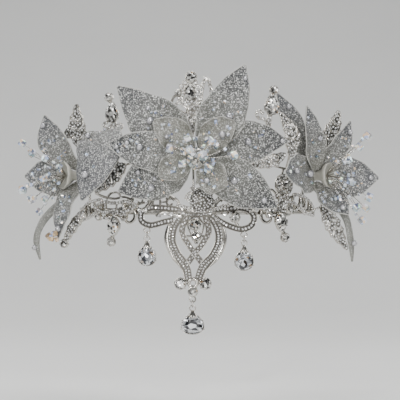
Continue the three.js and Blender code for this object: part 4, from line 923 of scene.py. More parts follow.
# Matrix of the flat drawing, unless it is bent round the head, and the back of the stones. Then
# the stones: x, z and diameter of a round one; x, z, width, height and turn of a pear.
STONES = {
    "front_ornament": (None, 0,
                       ((23.6, -1.6, 5.8), (-0.6, -5.8, 6.8), (0.2, -13, 5.8), (-9.4, -41.5, 6.8),
                        (5.6, -41.5, 6.8), (-1.9, -46.4, 5.6))),
    "centre_finial": (Matrix.Translation(CENTRE_SEAT), 0,
                      ((-9.8, 23.6, 3.6), (-2.6, 24.1, 7.8, 9, 0), (-2, 33.1, 6.6))),
    "left_finial": (plate_at((-50, -71.4, 50), -24), 0, ((-1.6, 13.2, 9.4, 12.4, 0), (-3.8, 22.6, 5))),
    "right_finial": (plate_at((44, -76, 54), 24), 0, ((2.3, 13.6, 10.6, 12.4, 0), (3.7, 22.6, 5.2))),
    "left_low_finial": (on_band(-39, -38), RAISED,
                        ((-12.6, -3.6, 3.8), (-0.4, -9.8, 10, 11.6, math.pi - 0.15), (-2.2, -18.8, 5))),
    "right_low_finial": (on_band(40.5, 38), RAISED,
                         ((7, 1.8, 3.8), (0.6, -6.8, 10.4, 11.8, math.pi), (3.6, -16.2, 5.2))),
    "right_round_cluster": (plate_at((54, -66.4, 18.4), 38), -0.4, ((0, 0, 5.2),)),
    "left_low_spray": (plate_at((-69.5, -55, 3.2), -25, SPRAY_WAY), 0, ((0, 26.36, 5),)),
}


def cup_of(casting, x, z):
    """Matrix at the front of the cup that a casting has at (x, z) of its flat drawing."""
    matrix, back, _ = STONES[casting]
    return matrix @ Matrix.Translation((x, back - CUP, z)) if matrix else round_head(x, back - CUP, z)


# %% Soft casting
def plain_copy(node):
    """A copy of a solid with its loose triangles joined up."""
    piece = merged(placed("copy", nodes[node].data.copy(), (0, 0, 0)), 2e-5, outwards=False)
    bpy.ops.object.shade_flat()
    return piece


def soft_casting(node, voxel=0.3, keep=0.45):
    """The solid with the soft edges of a casting."""
    piece = plain_copy(node)
    apply_modifier(piece, "REMESH", mode="VOXEL", voxel_size=voxel * MM, use_smooth_shade=True)
    apply_modifier(piece, "SMOOTH", factor=0.5, iterations=4)
    apply_modifier(piece, "DECIMATE", ratio=keep)
    return smooth(piece)


# %% The front of a plate and its rims
def front_of(node, way):
    """Corners and normals of a plate's front triangles, and a search tree of points on its rims."""
    copy = plain_copy(node)
    shape = bmesh.new()
    shape.from_mesh(copy.data)
    retire(copy)
    shape.normal_update()
    front = [f for f in shape.faces if f.normal.dot(way) > 0.45 and f.calc_area() > 1e-9]
    chosen = set(front)
    marks = []
    for edge in shape.edges:
        if sum(f in chosen for f in edge.link_faces) == 1:
            start, end = (v.co / MM for v in edge.verts)
            count = max(1, math.ceil((end - start).length / 0.12))
            marks += [start.lerp(end, k / count) for k in range(count)]
    near_rim = KDTree(len(marks))
    for i, mark in enumerate(marks):
        near_rim.insert(mark, i)
    near_rim.balance()
    corners = np.array([[v.co for v in f.verts] for f in front]) / MM
    normals = np.array([f.normal for f in front])
    shape.free()
    return corners, normals, near_rim


# %% The lowered field and its polished rim
RIM_WIDTH = 0.42
RIM_SLOPE = 0.25
FIELD_DEPTH = 0.24


def mark_polish_and_shade(piece, values):
    """Writes down how much of the polishing wheel each point has seen."""
    piece.data.attributes.new("polish_and_shade", "FLOAT", "POINT").data.foreach_set("value", values)


def lower_field(piece, way, near_rim):
    """Lowers the front of a casting inside its rim and marks what the polishing wheel reaches."""
    polish_and_shade = []
    for vertex in piece.data.vertices:
        share = 1.0
        if vertex.normal.dot(way) > 0.55:
            room = near_rim.find(vertex.co / MM)[2]
            share = 1 - min(max((room - RIM_WIDTH) / RIM_SLOPE, 0), 1)
        polish_and_shade.append(share)
    for vertex, share in zip(piece.data.vertices, polish_and_shade):
        vertex.co -= way * (FIELD_DEPTH * MM * (1 - share))
    # Points the wheel doesn't reach are marked 0, which also gives them the plate's painted shade.
    mark_polish_and_shade(piece, polish_and_shade)


# %% Places for the small stones
TRIES_PER_MM2 = 14
MOST_TRIES = 9000
STONE_GAP = 0.16


def pave_spots(node, way, front, largest, smallest, seed):
    """Stones that fill the free front of a plate: place, facing and radius of each."""
    corners, facings, near_rim = front
    chance = np.random.default_rng(seed)
    first, second, third = (corners[:, k] for k in range(3))
    areas = 0.5 * np.linalg.norm(np.cross(second - first, third - first), axis=1)
    count = int(min(MOST_TRIES, areas.sum() * TRIES_PER_MM2))
    picks = chance.choice(len(corners), count, p=areas / areas.sum())
    shares = chance.random((count, 2))
    over = shares.sum(1) > 1
    shares[over] = 1 - shares[over]
    a, b, c = (corners[picks, k] for k in range(3))
    places = a + shares[:, :1] * (b - a) + shares[:, 1:] * (c - a)
    room = np.array([near_rim.find(p)[2] for p in places])
    for x, z, *sizes in STONES[node][2] if node in STONES else ():
        middle = np.array(cup_of(node, x, z).translation)
        away = np.linalg.norm(np.cross(places - middle, np.array(way)), axis=1)
        room = np.minimum(room, away - 0.5 * max(sizes[:2]) - 0.3)
    size = np.minimum(room - 0.1, largest)
    chosen = []
    for i in np.argsort(-np.round(size, 2), kind="stable"):
        if size[i] < smallest:
            break
        if chosen:
            gaps = np.linalg.norm(places[chosen] - places[i], axis=1) - size[chosen] - size[i]
            if gaps.min() < STONE_GAP:
                continue
        chosen.append(i)
    return [(Vector(places[i]), Vector(facings[picks[i]]), size[i]) for i in chosen]


# %% Small stones, the grains that hold them, and every casting
# One small stone: a low cone cut off at its table. One grain: the bead of metal that holds it.
small_stone = added("cone", vertices=8, radius1=1, radius2=0.55, depth=0.5, location=(0, 0, 0.2))
grain = smooth(added("ico_sphere", subdivisions=1, radius=1, location=(0, 0, 0)))
PAVE_RADII = (0.84, 0.46)  # largest and smallest
FAN_RADII = (0.6, 0.32)


def set_stones(name, stones, beads):
    """A casting's field of small stones, and the grains between them."""
    own_mesh(copies(small_stone, stones), name + "_pave", PAVE_STONE)
    own_mesh(copies(grain, beads), name + "_grains", RHODIUM)
    print(name, "small stones:", len(stones))


for seed, (node, azimuth) in enumerate(AZIMUTHS.items()):
    if node == "front_ornament":
        continue
    way = facing(azimuth)
    front = front_of(node, way)
    casting = soft_casting(node)
    lower_field(casting, way, front[2])
    own_mesh(casting, node + "_casting", CAST_RHODIUM, [node])
    chance = np.random.default_rng(seed)
    small, beads = [], []
    radii = FAN_RADII if node == "low_fan" else PAVE_RADII
    for place, out, radius in pave_spots(node, way, front, *radii, seed + 11):
        spin, lean = chance.random() * math.tau, (chance.random() - 0.5) * 0.4
        small.append(set_at(place - out * 0.1, out, radius, spin, lean))
        side = out.orthogonal().normalized()
        for k in range(4):
            arm = Matrix.Rotation(spin + k * math.pi / 2, 3, out) @ side
            beads.append(set_at(place + arm * (radius + 0.06) + out * 0.06, out, 0.16))
    set_stones(node, small, beads)

# %% [markdown]
# ## The front ornament
# The lyre is made of channels: rails with a raised wall at each side and a row of stones
# between. The two outer rails also have a polished flange. A channel is easiest to make by
# carrying its cross-section along its path, so that walls and floor keep their width on every
# bend. The paths and widths are those of the solid.

# %% Cross-sections
WALL = 0.44
FLOOR = 1.3  # height of a channel's floor over the back of the plate
WALL_ROWS = ((0, 1.5), (0.1, 1.72), (0.22, PLATE_THICKNESS), (0.34, 1.72))  # its wall, from outside in


def channel_section(half, flange):
    """Corners (across, height) of a channel whose outer side carries a flange."""
    flange = max(flange, 0.05)
    edge = half - flange
    inner = [(aside - half, height) for aside, height in ((0, 0), *WALL_ROWS, (WALL, FLOOR))]
    outer = [(edge - aside, height) for aside, height in ((WALL, FLOOR), *reversed(WALL_ROWS))]
    return inner + outer + [(edge + 0.03, 1.0), (edge + 0.35 * flange, 1.2), (edge + 0.7 * flange, 1.1),
                            (half - 0.04, 0.85), (half, 0.55), (half, 0)]


def half_round_section(half, flange):
    """Corners of a plain scroll with a domed front."""
    return [(-half, 0), (-half, 1.0), (-0.7 * half, 1.5), (-0.3 * half, PLATE_THICKNESS),
            (0.3 * half, PLATE_THICKNESS), (0.7 * half, 1.5), (half, 1.0), (half, 0)]


# %% Carrying a section along a path
def path_point(path, share, closed=False):
    """Place on a flat path of (x, z) rows."""
    points = [Vector((x, 0, z)) for x, z in path]
    if closed:
        points = [points[-1], *points, points[0], points[1]]
        share = (1 + share * len(path)) / (len(path) + 2)
    return curve_point(points, share)


def path_frame(path, share, closed=False):
    """Place on the path and the direction across it."""
    low, high = max(share - 0.002, 0), min(share + 0.002, 1)
    way = (path_point(path, high, closed) - path_point(path, low, closed)).normalized()
    return path_point(path, share, closed), Vector((way.z, 0, -way.x))


def rail(section, path, width, end_width=None, swell=0, flange=0, outer=1, closed=False, steps=48):
    """A piece made by carrying a section along a path. `outer` is the side of its flange.

    `swell` widens it in its middle. The flange rises after the start and fades before the end.
    """
    end_width = width if end_width is None else end_width
    corners, faces = [], []
    count = steps if closed else steps + 1
    for i in range(count):
        t = i / steps
        place, across = path_frame(path, t, closed)
        half = 0.5 * (width + (end_width - width) * t + swell * math.sin(math.pi * t))
        rise = min(max((t - 0.06) / 0.2, 0), 1) * min(max((0.76 - t) / 0.2, 0), 1)
        for aside, height in section(half, flange * rise):
            corners.append(bent(place + across * (outer * aside) - Vector((0, height, 0))))
    wide = len(corners) // count
    for i in range(steps):
        here, there = i * wide, ((i + 1) % count) * wide
        faces += [[here + k, here + (k + 1) % wide, there + (k + 1) % wide, there + k] for k in range(wide)]
    if not closed:
        faces += [list(range(wide)), list(range(steps * wide, (steps + 1) * wide))]
    return smooth(solid_piece(corners, faces), 32)


def ring_at(place, radius, wire, axis):
    """Round wire ring; its hole runs along the axis."""
    turn = Vector(axis).to_track_quat("Z", "Y").to_euler()
    return smooth(at_origin(added("torus", major_segments=28, minor_segments=10, major_radius=radius * MM,
                                  minor_radius=wire * MM, location=Vector(place) * MM, rotation=turn)))


# %% The ornament's rails, loops and scrolls
OUTER_PATHS = {1: ((-8.7, 1), (-14.3, -7.3), (-15.7, -15.1), (-12.1, -24.2), (-6.4, -31.4), (-4.4, -40)),
               -1: ((8.2, 1), (13.7, -7.3), (15.1, -15.1), (11.5, -24.2), (4.6, -31.4), (1, -40))}
INNER_PATHS = (((-5.4, 0), (-8.5, -10.3), (-4.8, -17.5), (-0.8, -23.2), (4.6, -30.4)),
               ((5.4, 0), (7.6, -10.3), (3.9, -17.5), (-0.8, -23.2), (-6, -30.4)))
TOP_PATH = ((-12, 1.6), (-4, 0.2), (4, 0.2), (12, 1.6))
BOW_PATHS = (((-7.5, 2), (-18.7, 4), (-27.8, 4.2), (-33.4, 1), (-33, -4), (-27.8, -6.3), (-19.9, -4.5),
              (-12.4, -2.3)),
             ((8.5, 1.8), (20.5, 3.8), (30.1, 3.6), (35.2, -0.8), (33.8, -6.3), (28.3, -8.7), (20.5, -6.9),
              (13, -2.8)))


def curl(x, z, start, way, radius=3, turns=0.9, count=8):
    """Path of a scroll that winds in to a third of its radius."""
    rows = []
    for i in range(count + 1):
        turn = math.radians(start) + way * math.tau * turns * i / count
        reach = radius * (1 - 0.65 * i / count)
        rows.append((x + reach * math.cos(turn), z + reach * math.sin(turn)))
    return rows


# Path, width at its start and at its end.
SCROLLS = (
    (((-24.5, -0.8), (-20, 1.2), (-15, 0.6), (-9.5, -1)), 1.6, 3.6),
    (((26, 2.8), (22.6, 0.4), (23.4, -3), (25.5, -6.6)), 1.8, 1.8),
    (((-29, 4.4), (-25.4, 9.4), (-18.6, 11.6), (-12.2, 9.6), (-8.2, 3)), 1.8, 1.8),
    (curl(-15.6, 7.2, 30, 1), 1.5, 1.5),
    (((-22.4, 11), (-21.6, 7.4), (-22.6, 4)), 1.6, 1.6),
    (((30.6, 3.8), (28, 8.6), (21.4, 10.8), (14.2, 8.8), (9.6, 2.2)), 1.8, 1.8),
    (curl(17.4, 6.6, 150, -1), 1.5, 1.5),
    (((24.6, 10.4), (23.8, 7), (24.6, 3.4)), 1.6, 1.6),
    (((-0.6, -2), (0, -16.5)), 2, 2),
    (((-6, -12.8), (6, -12.8)), 1.4, 1.4),
    (((-0.4, 0.6), (-5, -5.6), (-3.6, -10.4), (-0.2, -17.4)), 1.3, 1),
    (((-0.4, 0.6), (4.4, -5.6), (3.8, -10.4), (0.4, -17.4)), 1.3, 1),
)
parts = [rail(channel_section, path, 5.4, 4.4, 2.2, 2.2, outer) for outer, path in OUTER_PATHS.items()]
parts += [rail(channel_section, path, 3.8) for path in INNER_PATHS]
parts += [rail(channel_section, TOP_PATH, 3.4)]
parts += [rail(channel_section, path, 3.9, closed=True, steps=64) for path in BOW_PATHS]
parts += [rail(half_round_section, *scroll, steps=24) for scroll in SCROLLS]
print("channels and scrolls:", len(parts))

# %% Cups, lugs and the foot of the lyre
FOOT = (-1.8, -41.1)
LUGS = {"main": (-2.1, -50.9), "left": (-29.8, -9.3), "right": (29.2, -11.9)}
LUG_DEPTH = -PLATE_THICKNESS / 2
UPRIGHT = (0, 1, 0)
for x, z, size in STONES["front_ornament"][2]:
    middle = round_head(x, -0.5 * CUP, z)
    cup = added("cylinder", vertices=32, radius=(0.5 * size + 0.35) * MM, depth=CUP * MM,
                location=middle.translation * MM, rotation=(math.radians(90), 0, middle.to_euler().z))
    apply_modifier(cup, "BEVEL", width=0.25 * MM, segments=2)
    parts.append(smooth(at_origin(cup), 32))
parts.append(ring_at(bent(Vector((FOOT[0], LUG_DEPTH, FOOT[1]))), 2.5, 1.1, UPRIGHT))
parts += [ring_at(bent(Vector((x, LUG_DEPTH, z))), 1.8, 0.45, UPRIGHT) for x, z in LUGS.values()]
ornament = joined(parts)
depths = [ORNAMENT_BACK + fall_back(v.co.x / MM) - v.co.y / MM for v in ornament.data.vertices]
# Channel floors are marked 0: rough, and given the plate's painted shade.
mark_polish_and_shade(ornament, [0.0 if abs(depth - FLOOR) < 0.02 else 1.0 for depth in depths])
own_mesh(ornament, "front_ornament_casting", RAIL_RHODIUM, ["front_ornament"])
print("ornament faces:", len(ornament.data.polygons))


# %% Rows of stones in the channels
def stone_row(path, pitch, radius, aside=0.0, closed=False, start=0.04, end=0.97):
    """Stones at even steps along a channel; `aside` moves every other one to each side."""
    shares = np.arange(401) / 400
    marks = [path_point(path, float(share), closed) for share in shares]
    lengths = np.concatenate([[0], np.cumsum([(b - a).length for a, b in zip(marks, marks[1:])])])
    low, high = (0, 1) if closed else (start, end)
    count = int(lengths[-1] * (high - low) / pitch)
    spots = []
    for k in range(count):
        reached = lengths[-1] * (low + (high - low) * (k + 0.5) / count)
        place, across = path_frame(path, float(np.interp(reached, lengths, shares)), closed)
        spots.append((place + across * (aside * (1 if k % 2 else -1)), radius))
    return spots


OUTWARD_SHIFT = 0.75  # the outer channels lie off their paths' middle, beside the flange
row_spots = []
for outer, path in OUTER_PATHS.items():
    for spot, radius in stone_row(path, 0.85, 0.7, 0.95):
        bulge = math.sin(math.pi * min(max(-spot.z / 40, 0), 1))
        row_spots.append((spot + Vector((OUTWARD_SHIFT * bulge * outer, 0, 0)), radius))
for path in INNER_PATHS:
    row_spots += stone_row(path, 1.35, 0.66, 0.5)
row_spots += stone_row(TOP_PATH, 1.5, 0.7, 0.2)
for path in BOW_PATHS:
    row_spots += stone_row(path, 2.0, 0.95, closed=True)
chance = np.random.default_rng(5)
small, beads = [], []
for spot, radius in row_spots:
    place = bent(spot - Vector((0, FLOOR + 0.02, 0)))
    spin = chance.random() * math.tau
    small.append(set_at(place, FORWARD, radius, spin, (chance.random() - 0.5) * 0.4))
    for k in (0, 1):
        arm = Vector((math.cos(spin + k * 2.6), 0, math.sin(spin + k * 2.6)))
        beads.append(set_at(place + arm * (radius + 0.04) + 0.3 * FORWARD, FORWARD, 0.17))
set_stones("front_ornament", small, beads)

# %% [markdown]
# The centre finial carries a ring of small bezels round its pear stone and a thick scroll that
# curls under its side stone. Both lie in the same plane as the ornament.

# %% Bezels and scrolls of the centre finial
HALO_MIDDLE = (-3.6, 74)
HALO_SIZE = (6, 6.8)
HALO_STONES = 12
HALO_RADIUS = 1.25
HIGH_SCROLLS = (
    (((-6.6, 61), (-12.7, 64.2), (-14.7, 68.2), (-12.7, 71.8), (-9.1, 71.4), (-8, 68.4), (-10.3, 66.6)),
     2.2, 1.3),
    (((1.6, 60), (3.4, 66), (2.2, 71.4), (4.6, 76)), 2, 1.2),
    (((-2.8, 58), (-5.2, 62.6), (-3.6, 67)), 2.2, 1.6),
)
parts = [rail(half_round_section, *scroll, steps=24) for scroll in HIGH_SCROLLS]
seats = []
for k in range(HALO_STONES):
    turn = math.tau * k / HALO_STONES
    seat = bent(Vector((HALO_MIDDLE[0] + HALO_SIZE[0] * math.cos(turn), -1.2,
                        HALO_MIDDLE[1] + HALO_SIZE[1] * math.sin(turn))))
    parts.append(ring_at(seat, HALO_RADIUS + 0.1, 0.34, UPRIGHT))
    seats.append(set_at(seat, FORWARD, HALO_RADIUS, turn))
own_mesh(joined(parts), "centre_finial_bezels", RHODIUM)
own_mesh(copies(small_stone, seats), "centre_finial_halo", PAVE_STONE)
print("bezels:", len(seats))

# %% [markdown]
# Thin scrolls stand in front of the band on both sides of the bow. They are carried along their
# paths like the scrolls of the ornament.

# %% Scrolls along the band
MIRROR_SUM = 2.4  # x of a left point and of the right one that answers it, added up
BAND_SCROLLS = (  # on the left side: path, width at its start and at its end
    (((-64, 13.4), (-57.5, 11), (-50.7, 9.8), (-44.2, 10.8), (-38, 8.6)), 1.7, 1.5),
    (((-44.6, 6.6), (-38.7, 6.2), (-32.2, 7.2), (-27, 8.8)), 1.9, 1.3),
    (((-56.5, 8), (-56.2, 3.6), (-52.8, 2), (-49.4, 4), (-49.6, 7.4), (-51.8, 7.6)), 2, 1.2),
    (((-59.8, 6.5), (-57.6, 1.6), (-53.4, -0.6), (-48.6, 0.8), (-45, 4.6), (-41.6, 9)), 2.4, 1.5),
    (((-47.4, 3), (-42.4, 4.6), (-38, 2), (-37.8, -2.6), (-41, -5), (-43.8, -3), (-42.6, -0.6)), 2.8, 1.7),
    (((-39.6, 9.6), (-36, 12.4), (-32.6, 10.6), (-33.4, 7.4), (-36, 8)), 1.9, 1.1),
    (((-30.6, 4.6), (-28.4, 8.4), (-31, 11.4), (-34, 10.8)), 1.8, 1.1),
    (((-56, 9.4), (-53, 13), (-48.4, 13.4), (-46, 10.2)), 1.7, 1.2),
    (((-47.6, 12), (-44, 15.4), (-39.6, 13.6), (-38, 9.6)), 1.7, 1.2),
    (((-30, 1.8), (-36, 3.6), (-41.6, 1), (-46.4, -1.6), (-50, 0.4)), 2, 1.2),
    (((-26.6, 9.4), (-22.6, 12.6), (-18.4, 11.4), (-18, 8.2), (-20.6, 7.6)), 1.8, 1),
)
SCROLL_STONES = ((-60, 5.4, 1.7), (-22, -0.4, 1.2), (-18.6, 0.6, 1.3), (-14.8, 0.4, 1.3), (-34.6, 2.8, 1.2),
                 (-38.6, 6.4, 1), (-30, 7.6, 1), (-51.8, 7.4, 1.1), (-42.4, -0.8, 1.2), (-36.2, 8.2, 1),
                 (-34, 10.8, 0.9), (-46, 10.4, 1))
parts, seats = [], []
for side, shift in ((1, 0), (-1, MIRROR_SUM)):
    for path, *widths in BAND_SCROLLS:
        path = [(side * x + shift, z) for x, z in path]
        parts.append(rail(half_round_section, path, *widths, outer=side, steps=20))
    for x, z, radius in SCROLL_STONES:
        seat = bent(Vector((side * x + shift, -PLATE_THICKNESS - 0.2, z)))
        seats.append(set_at(seat, FORWARD, radius))
print("band scrolls:", len(parts))
own_mesh(joined(parts), "band_scrolls", RHODIUM)
own_mesh(copies(small_stone, seats), "band_scroll_stones", PAVE_STONE)

# %% [markdown]
# ## Main stones of the castings
# Each main stone stands in the cup of its casting and is held by claws: short bent fingers of
# metal over its edge. A round stone has the claws at even steps, a pear has one at the point too.

# %% Main stones and claws
claw = added("cone", vertices=8, radius1=0.34, radius2=0.2, depth=1.5, location=(0, 0, -0.3))
apply_modifier(claw, "BEVEL", width=0.12, segments=2)
smooth(claw)
CLAW_STEP = 4  # corners of the outline from one claw of a pear to the next


def turned_outline(outline, turn):
    """The outline turned in its own plane."""
    c, s = math.cos(turn), math.sin(turn)
    return [(a * c - b * s, a * s + b * c) for a, b in outline]


for node, (_, _, stones) in STONES.items():
    cut, claws = [], []
    for x, z, *sizes in stones:
        seat = cup_of(node, x, z)
        if len(sizes) == 1:
            outline, centre = round_outline(0.5 * sizes[0]), (0, 0)
            step = CLAW_STEP if sizes[0] < 4.5 else 2
        else:
            width, height, turn = sizes
            outline = turned_outline(pear_outline(width, height), turn)
            centre = (0.1 * height * math.sin(turn), -0.1 * height * math.cos(turn))
            step = CLAW_STEP
        points, faces = cut_stone([(a * 1.02, b * 1.02) for a, b in outline], 1.75, 0.8, centre=centre)
        cut.append(solid_piece([seat @ Vector(p) for p in points], faces))
        for a, b in outline[::step]:
            out = seat.to_3x3() @ Vector((-0.3 * a, -2.2, -0.3 * b))
            claws.append(set_at(seat @ (Vector((a, -0.15, b)) * 1.04), out))
    own_mesh(joined(cut), node + "_stones", MAIN_STONE)
    own_mesh(copies(claw, claws), node + "_claws", RHODIUM)
    print(node, "main stones:", len(stones), "claws:", len(claws))

# %% [markdown]
# ## Drops
# A drop is a pear-shaped stone cut on its front, held in a wire basket with claws, under a bell
# cap whose eye hangs on a plain ring. The main one swings on its ring, so it rides on its own
# body.

# %% Drops
BASKET_CLAWS = (2, 5, 8, 16, 19, 22)  # corners of the 24-sided outline that a claw holds
EYE_FALL = 5.3
EYE_RADIUS = 1.7
EYE_WIRE = 0.4
CAP_HEIGHT = 4.2
DROPS = {  # width and height of the stone, radius of the cap, finish, body
    "left": (11.4, 13.2, 2.4, DROP_STONE, "crown"),
    "right": (11.8, 13.4, 2.4, DROP_STONE, "crown"),
    "main": (14.6, 12.6, 2.8, BANDED_STONE, "main_pendant"),
}


def bell_cap(eye, cap):
    """Cap of a drop: a cone of metal turned on a lathe, with eight petals pressed in its rim."""
    middle = eye - Vector((0, 0, EYE_RADIUS - 0.2 + 2.2))
    piece = added("cone", vertices=24, radius1=cap * MM, radius2=0.5 * MM, depth=CAP_HEIGHT * MM,
                  end_fill_type="NOTHING", location=middle * MM)
    bpy.ops.object.mode_set(mode="EDIT")
    bpy.ops.mesh.select_all(action="SELECT")
    bpy.ops.mesh.subdivide(number_cuts=3)
    bpy.ops.object.mode_set(mode="OBJECT")
    for vertex in piece.data.vertices:
        low = max(0, 0.4 - vertex.co.z / (CAP_HEIGHT * MM))
        wave = low * math.cos(8 * math.atan2(vertex.co.y, vertex.co.x))
        swell = 1 + 0.5 * low * (1 - low) + 0.1 * wave
        vertex.co = (vertex.co.x * swell, vertex.co.y * swell, vertex.co.z - 0.5 * MM * wave)
    apply_modifier(piece, "SOLIDIFY", thickness=0.35 * MM, offset=0)
    return smooth(at_origin(piece))


for side, (width, height, cap, finish, body) in DROPS.items():
    x, z = LUGS[side]
    lug = bent(Vector((x, LUG_DEPTH, z)))
    eye = lug - Vector((0, 0, EYE_FALL))
    ring = ring_at(lug - Vector((0, 0, EYE_FALL / 2)), 2.05, EYE_WIRE, (1, 0, 0))
    own_mesh(ring, side + "_jump_ring_wire", RHODIUM, [side + "_jump_ring"], body)
    outline = pear_outline(width, height, 24, 0.62)
    middle = eye - Vector((0, 0, EYE_RADIUS + 1.4 + 0.5 * height))
    girdle = [Vector((a * 1.03, 0, b * 1.03)) for a, b in outline]
    held = [girdle[k] for k in BASKET_CLAWS]
    claws = [set_at(middle + v, (-0.35 * v.x, -3, -0.35 * v.z), 1.1) for v in held]
    metal = [ring_at(eye, EYE_RADIUS, EYE_WIRE, UPRIGHT), bell_cap(eye, cap),
             round_wires([[middle + v for v in girdle]], 0.28, closed=True), copies(claw, claws)]
    own_mesh(joined(metal), side + "_drop_cap", RHODIUM, body=body)
    points, faces = cut_stone(outline, 0.26 * width, 0.26 * width, table=0.5, centre=(0, -0.12 * height))
    glass = solid_piece([middle + Vector(p) for p in points], faces)
    own_mesh(glass, side + "_drop_stone", finish, [side + "_drop"], body)
    print(side, "drop hangs", round(-z + EYE_FALL + height, 1), "mm under the band's edge")

# %% [markdown]
# ## Wired crystals
# From the middle of each flower springs a spray of fine wires. Each wire carries a cube of
# crystal with its corners cut off, or a smaller one. The wires bend a little, as soft wire does.

# %% Sprays
# Crystals at their places, with their sizes.
FRONT_BEADS = ((4.2, -123, 34.9, 4.2), (-3.8, -118, 38.4, 2.8), (-15.6, -116, 39.4, 2.6),
               (-5, -116, 45.6, 2.5), (9.4, -116.5, 43.8, 2.7), (22.6, -115, 35.4, 2.5),
               (7.2, -119, 27.2, 2.5), (-8.6, -117, 30.2, 2.5))
LEFT_BEADS = ((-110, -50, 45, 2.8), (-103.4, -55, 38.6, 2.6), (-110, -50, 15.4, 3), (-104, -56, 9.4, 2.8),
              (-94, -66, 35, 2.3), (-95, -66, 22.4, 2.4), (-94.4, -65, 10, 2.3), (-98.4, -61, 1.6, 2.4))
RIGHT_BEADS = ((108.4, -50, 49.6, 3), (102.6, -55, 42.4, 2.8), (109, -54, 10.8, 2.9), (104.2, -58, -3.6, 2.9),
               (106.8, -56, 3.9, 2.7), (100.4, -62, 4.2, 2.8), (96, -66, 20.2, 2.4), (95, -66, 34, 2.3))
SPRAYS = {  # crystals, the height they spring from, small ones between them, their spread, seed
    "front": (FRONT_BEADS, 20, 44, 3.4, 5),
    "left": (LEFT_BEADS, 14, 22, 2.2, 4),
    "right": (RIGHT_BEADS, 14, 20, 2.2, 5),
}
cube_bead = added("cube", size=1.5, location=(0, 0, 0))
apply_modifier(cube_bead, "BEVEL", width=0.16, segments=1)


def spray(flower, beads, level, extra, spread, seed):
    """Wires and crystals of one flower: the named beads, then `extra` small ones between them."""
    chance = np.random.default_rng(seed)
    root = flower["centre"] + flower["axis"] * (level + SEAT_GAP + 1)
    paths, spots = [], []
    targets = [(Vector(place), size) for *place, size in beads]
    for _ in range(extra):
        place, size = targets[chance.integers(len(beads))]
        inward = 0.3 + 0.6 * chance.random()
        shift = Vector(chance.normal(size=3)) * spread
        targets.append((root.lerp(place, inward) + shift, 0.9 + 0.7 * chance.random()))
    for place, size in targets:
        middle = root.lerp(place, 0.5) + Vector(chance.normal(size=3)) * 0.7
        paths.append([curve_point([root, middle, place], i / 8) for i in range(9)])
        out = (place - root).normalized()
        spots.append(set_at(place, out, size, chance.random() * math.tau, (chance.random() - 0.5) * 0.8))
    return paths, spots


for side, settings in SPRAYS.items():
    paths, spots = spray(FLOWERS[side], *settings)
    own_mesh(round_wires(paths, 0.22, sides=5), side + "_spray_wires", WIRE_METAL)
    if side == "front":
        spots = spots[1:]  # the first one is cut larger, below
    crystals = copies(cube_bead, spots)
    own_mesh(crystals, side + "_spray_crystals", RAINBOW_BEAD, [side + "_crystals"])
    print(side, "spray:", len(spots), "crystals")

large = added("ico_sphere", subdivisions=2, radius=3.2 * MM, location=Vector(FRONT_BEADS[0][:3]) * MM)
own_mesh(at_origin(large), "front_centre_crystal", RAINBOW_BEAD)

# %% [markdown]
# Smaller crystals are sewn on the petals round each flower's middle, thinning out towards
# the tips. The lowest left petal ends in a few amber ones.

# %% Crystals sewn on the petals
# On each petal: how many, and the range along and across it that they fill.
SEWN = {
    "front": {"front_petal_upper_left": (16, 0.2, 0.66, 0.8), "front_petal_upper_right": (14, 0.2, 0.6, 0.8),
              "front_petal_right": (16, 0.2, 0.72, 0.8), "front_petal_left": (14, 0.3, 0.9, 0.8),
              "front_petal_lower_left": (14, 0.2, 0.8, 0.8), "front_petal_lower_right": (10, 0.2, 0.7, 0.7),
              "inner_petal_upper_left": (14, 0.2, 0.9, 0.7), "inner_petal_upper_right": (14, 0.2, 0.9, 0.7),
              "inner_petal_lower": (10, 0.1, 0.8, 0.7), "inner_petal_lower_left": (8, 0.1, 0.8, 0.7)},
    "left": {"left_petal_up": (14, 0.2, 0.66, 0.8), "left_petal_back": (30, 0.1, 0.9, 0.8),
             "left_petal_front": (10, 0.1, 0.9, 0.8), "left_petal_down": (12, 0.3, 0.95, 0.7)},
    "right": {"right_petal_out": (34, 0.1, 0.85, 0.8), "right_petal_down": (12, 0.2, 0.9, 0.7),
              "right_petal_back": (8, 0.2, 0.8, 0.7), "right_petal_front": (8, 0.1, 0.9, 0.7),
              "right_petal_up": (7, 0.2, 0.9, 0.6)},
}
for seed, (flower, rows) in enumerate(SEWN.items()):
    chance = np.random.default_rng(40 + seed)
    spots = []
    for petal, (count, near, far, wide) in rows.items():
        for _ in range(count):
            u = near + (far - near) * chance.random()
            place, out = on_petal(petal, u, wide * (2 * chance.random() - 1))
            size = 0.7 + 0.45 * chance.random()
            lift = 0.5 * (size + FILM_MM)
            spots.append(set_at(place + out * lift, out, size, chance.random() * math.tau, 0.5))
    own_mesh(copies(cube_bead, spots), flower + "_sewn_crystals", RAINBOW_BEAD)
    print(flower, "flower:", len(spots), "crystals sewn on")

AMBER = ((-88.6, -62.5, -12, 2), (-92.4, -61, -13.4, 2.1), (-90.4, -62.5, -15.4, 2), (-87, -63.5, -15.6, 1.6))
spots = [set_at(place, (-0.5, -0.85, 0.1 * i), size, 0.7 * i, 0.4) for i, (*place, size) in enumerate(AMBER)]
own_mesh(copies(cube_bead, spots), "left_amber_crystals", AMBER_BEAD)
stem = SHEETS["left_petal_down"](0.86, 0)[0]
amber_wires = round_wires([[stem, place] for *place, _ in AMBER], 0.2, sides=5)
own_mesh(amber_wires, "left_amber_wires", WIRE_METAL)

# %% [markdown]
# ## Throats, post and frame
# The side flowers open in a milky trumpet. It is turned: a profile is spun round the flower's
# axis. The frame's wires and band are drawn wire and strip, smooth and round-edged.

# %% Turned parts
FLUTES = 9
FLUTES_FROM = 10  # height at which the trumpet's flutes begin


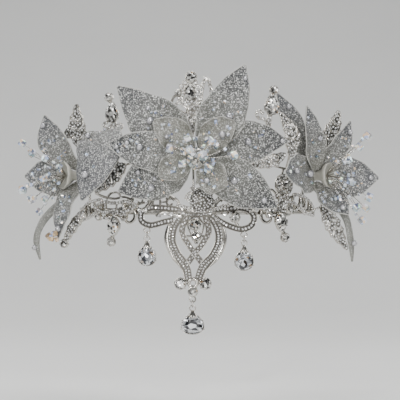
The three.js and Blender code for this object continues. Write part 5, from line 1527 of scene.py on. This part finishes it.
def turned(profile, flower, flutes=0):
    """Spins a profile of (radius, height) round a flower's axis, and presses flutes in its mouth."""
    steps = [(i, i + 1) for i in range(len(profile) - 1)]
    piece = mesh_object([(r * MM, 0, h * MM) for r, h in profile], steps, [])
    only(piece)
    bpy.ops.object.mode_set(mode="EDIT")
    bpy.ops.mesh.select_all(action="SELECT")
    bpy.ops.mesh.spin(steps=48, angle=math.tau, center=(0, 0, 0), axis=(0, 0, 1))
    bpy.ops.object.mode_set(mode="OBJECT")
    merged(piece, 1e-6)
    for vertex in piece.data.vertices if flutes else ():
        turn = math.atan2(vertex.co.y, vertex.co.x)
        share = min(max((vertex.co.z / MM - FLUTES_FROM) / 3, 0), 1)
        swell = 1 + 0.03 * share * math.cos(flutes * turn)
        vertex.co.x *= swell
        vertex.co.y *= swell
    piece.data.transform(flower["axis"].to_track_quat("Z", "Y").to_matrix().to_4x4())
    piece.data.transform(Matrix.Translation(flower["centre"] * MM))
    return smooth(piece)


TRUMPET = ((0, 0), (5.5, 0), (5.5, 1.2), (4.6, 1.9), (3, 2.6), (3, 9), (3.3, 12), (5, 13.4), (7, 15),
           (8.3, 16.8), (8.6, 18), (8.1, 18.2), (7.4, 17.6), (6, 15.9), (3.6, 14.2), (0, 13.8))
POST = ((0, 0), (6.5, 0), (6.5, 1.2), (6.1, 1.6), (5.2, 2.2), (5, 2.8), (5, 19.4), (4.6, 20), (0, 20))
for side, flare in (("left", 1), ("right", 0.93)):
    profile = [(r * flare if h > 13 else r, h) for r, h in TRUMPET]
    trumpet = turned(profile, FLOWERS[side], FLUTES)
    own_mesh(trumpet, side + "_trumpet", THROAT_RESIN, [side + "_throat"])
own_mesh(turned(POST, FLOWERS["front"]), "front_post", RHODIUM, ["front_flower_post"])

wires = soft_casting("crown_frame", voxel=0.35, keep=0.5)
own_mesh(wires, "crown_wires", WIRE_METAL, ["crown_frame"])
print("frame faces:", len(wires.data.polygons))

for master in (ball, small_stone, grain, claw, cube_bead):
    retire(master)
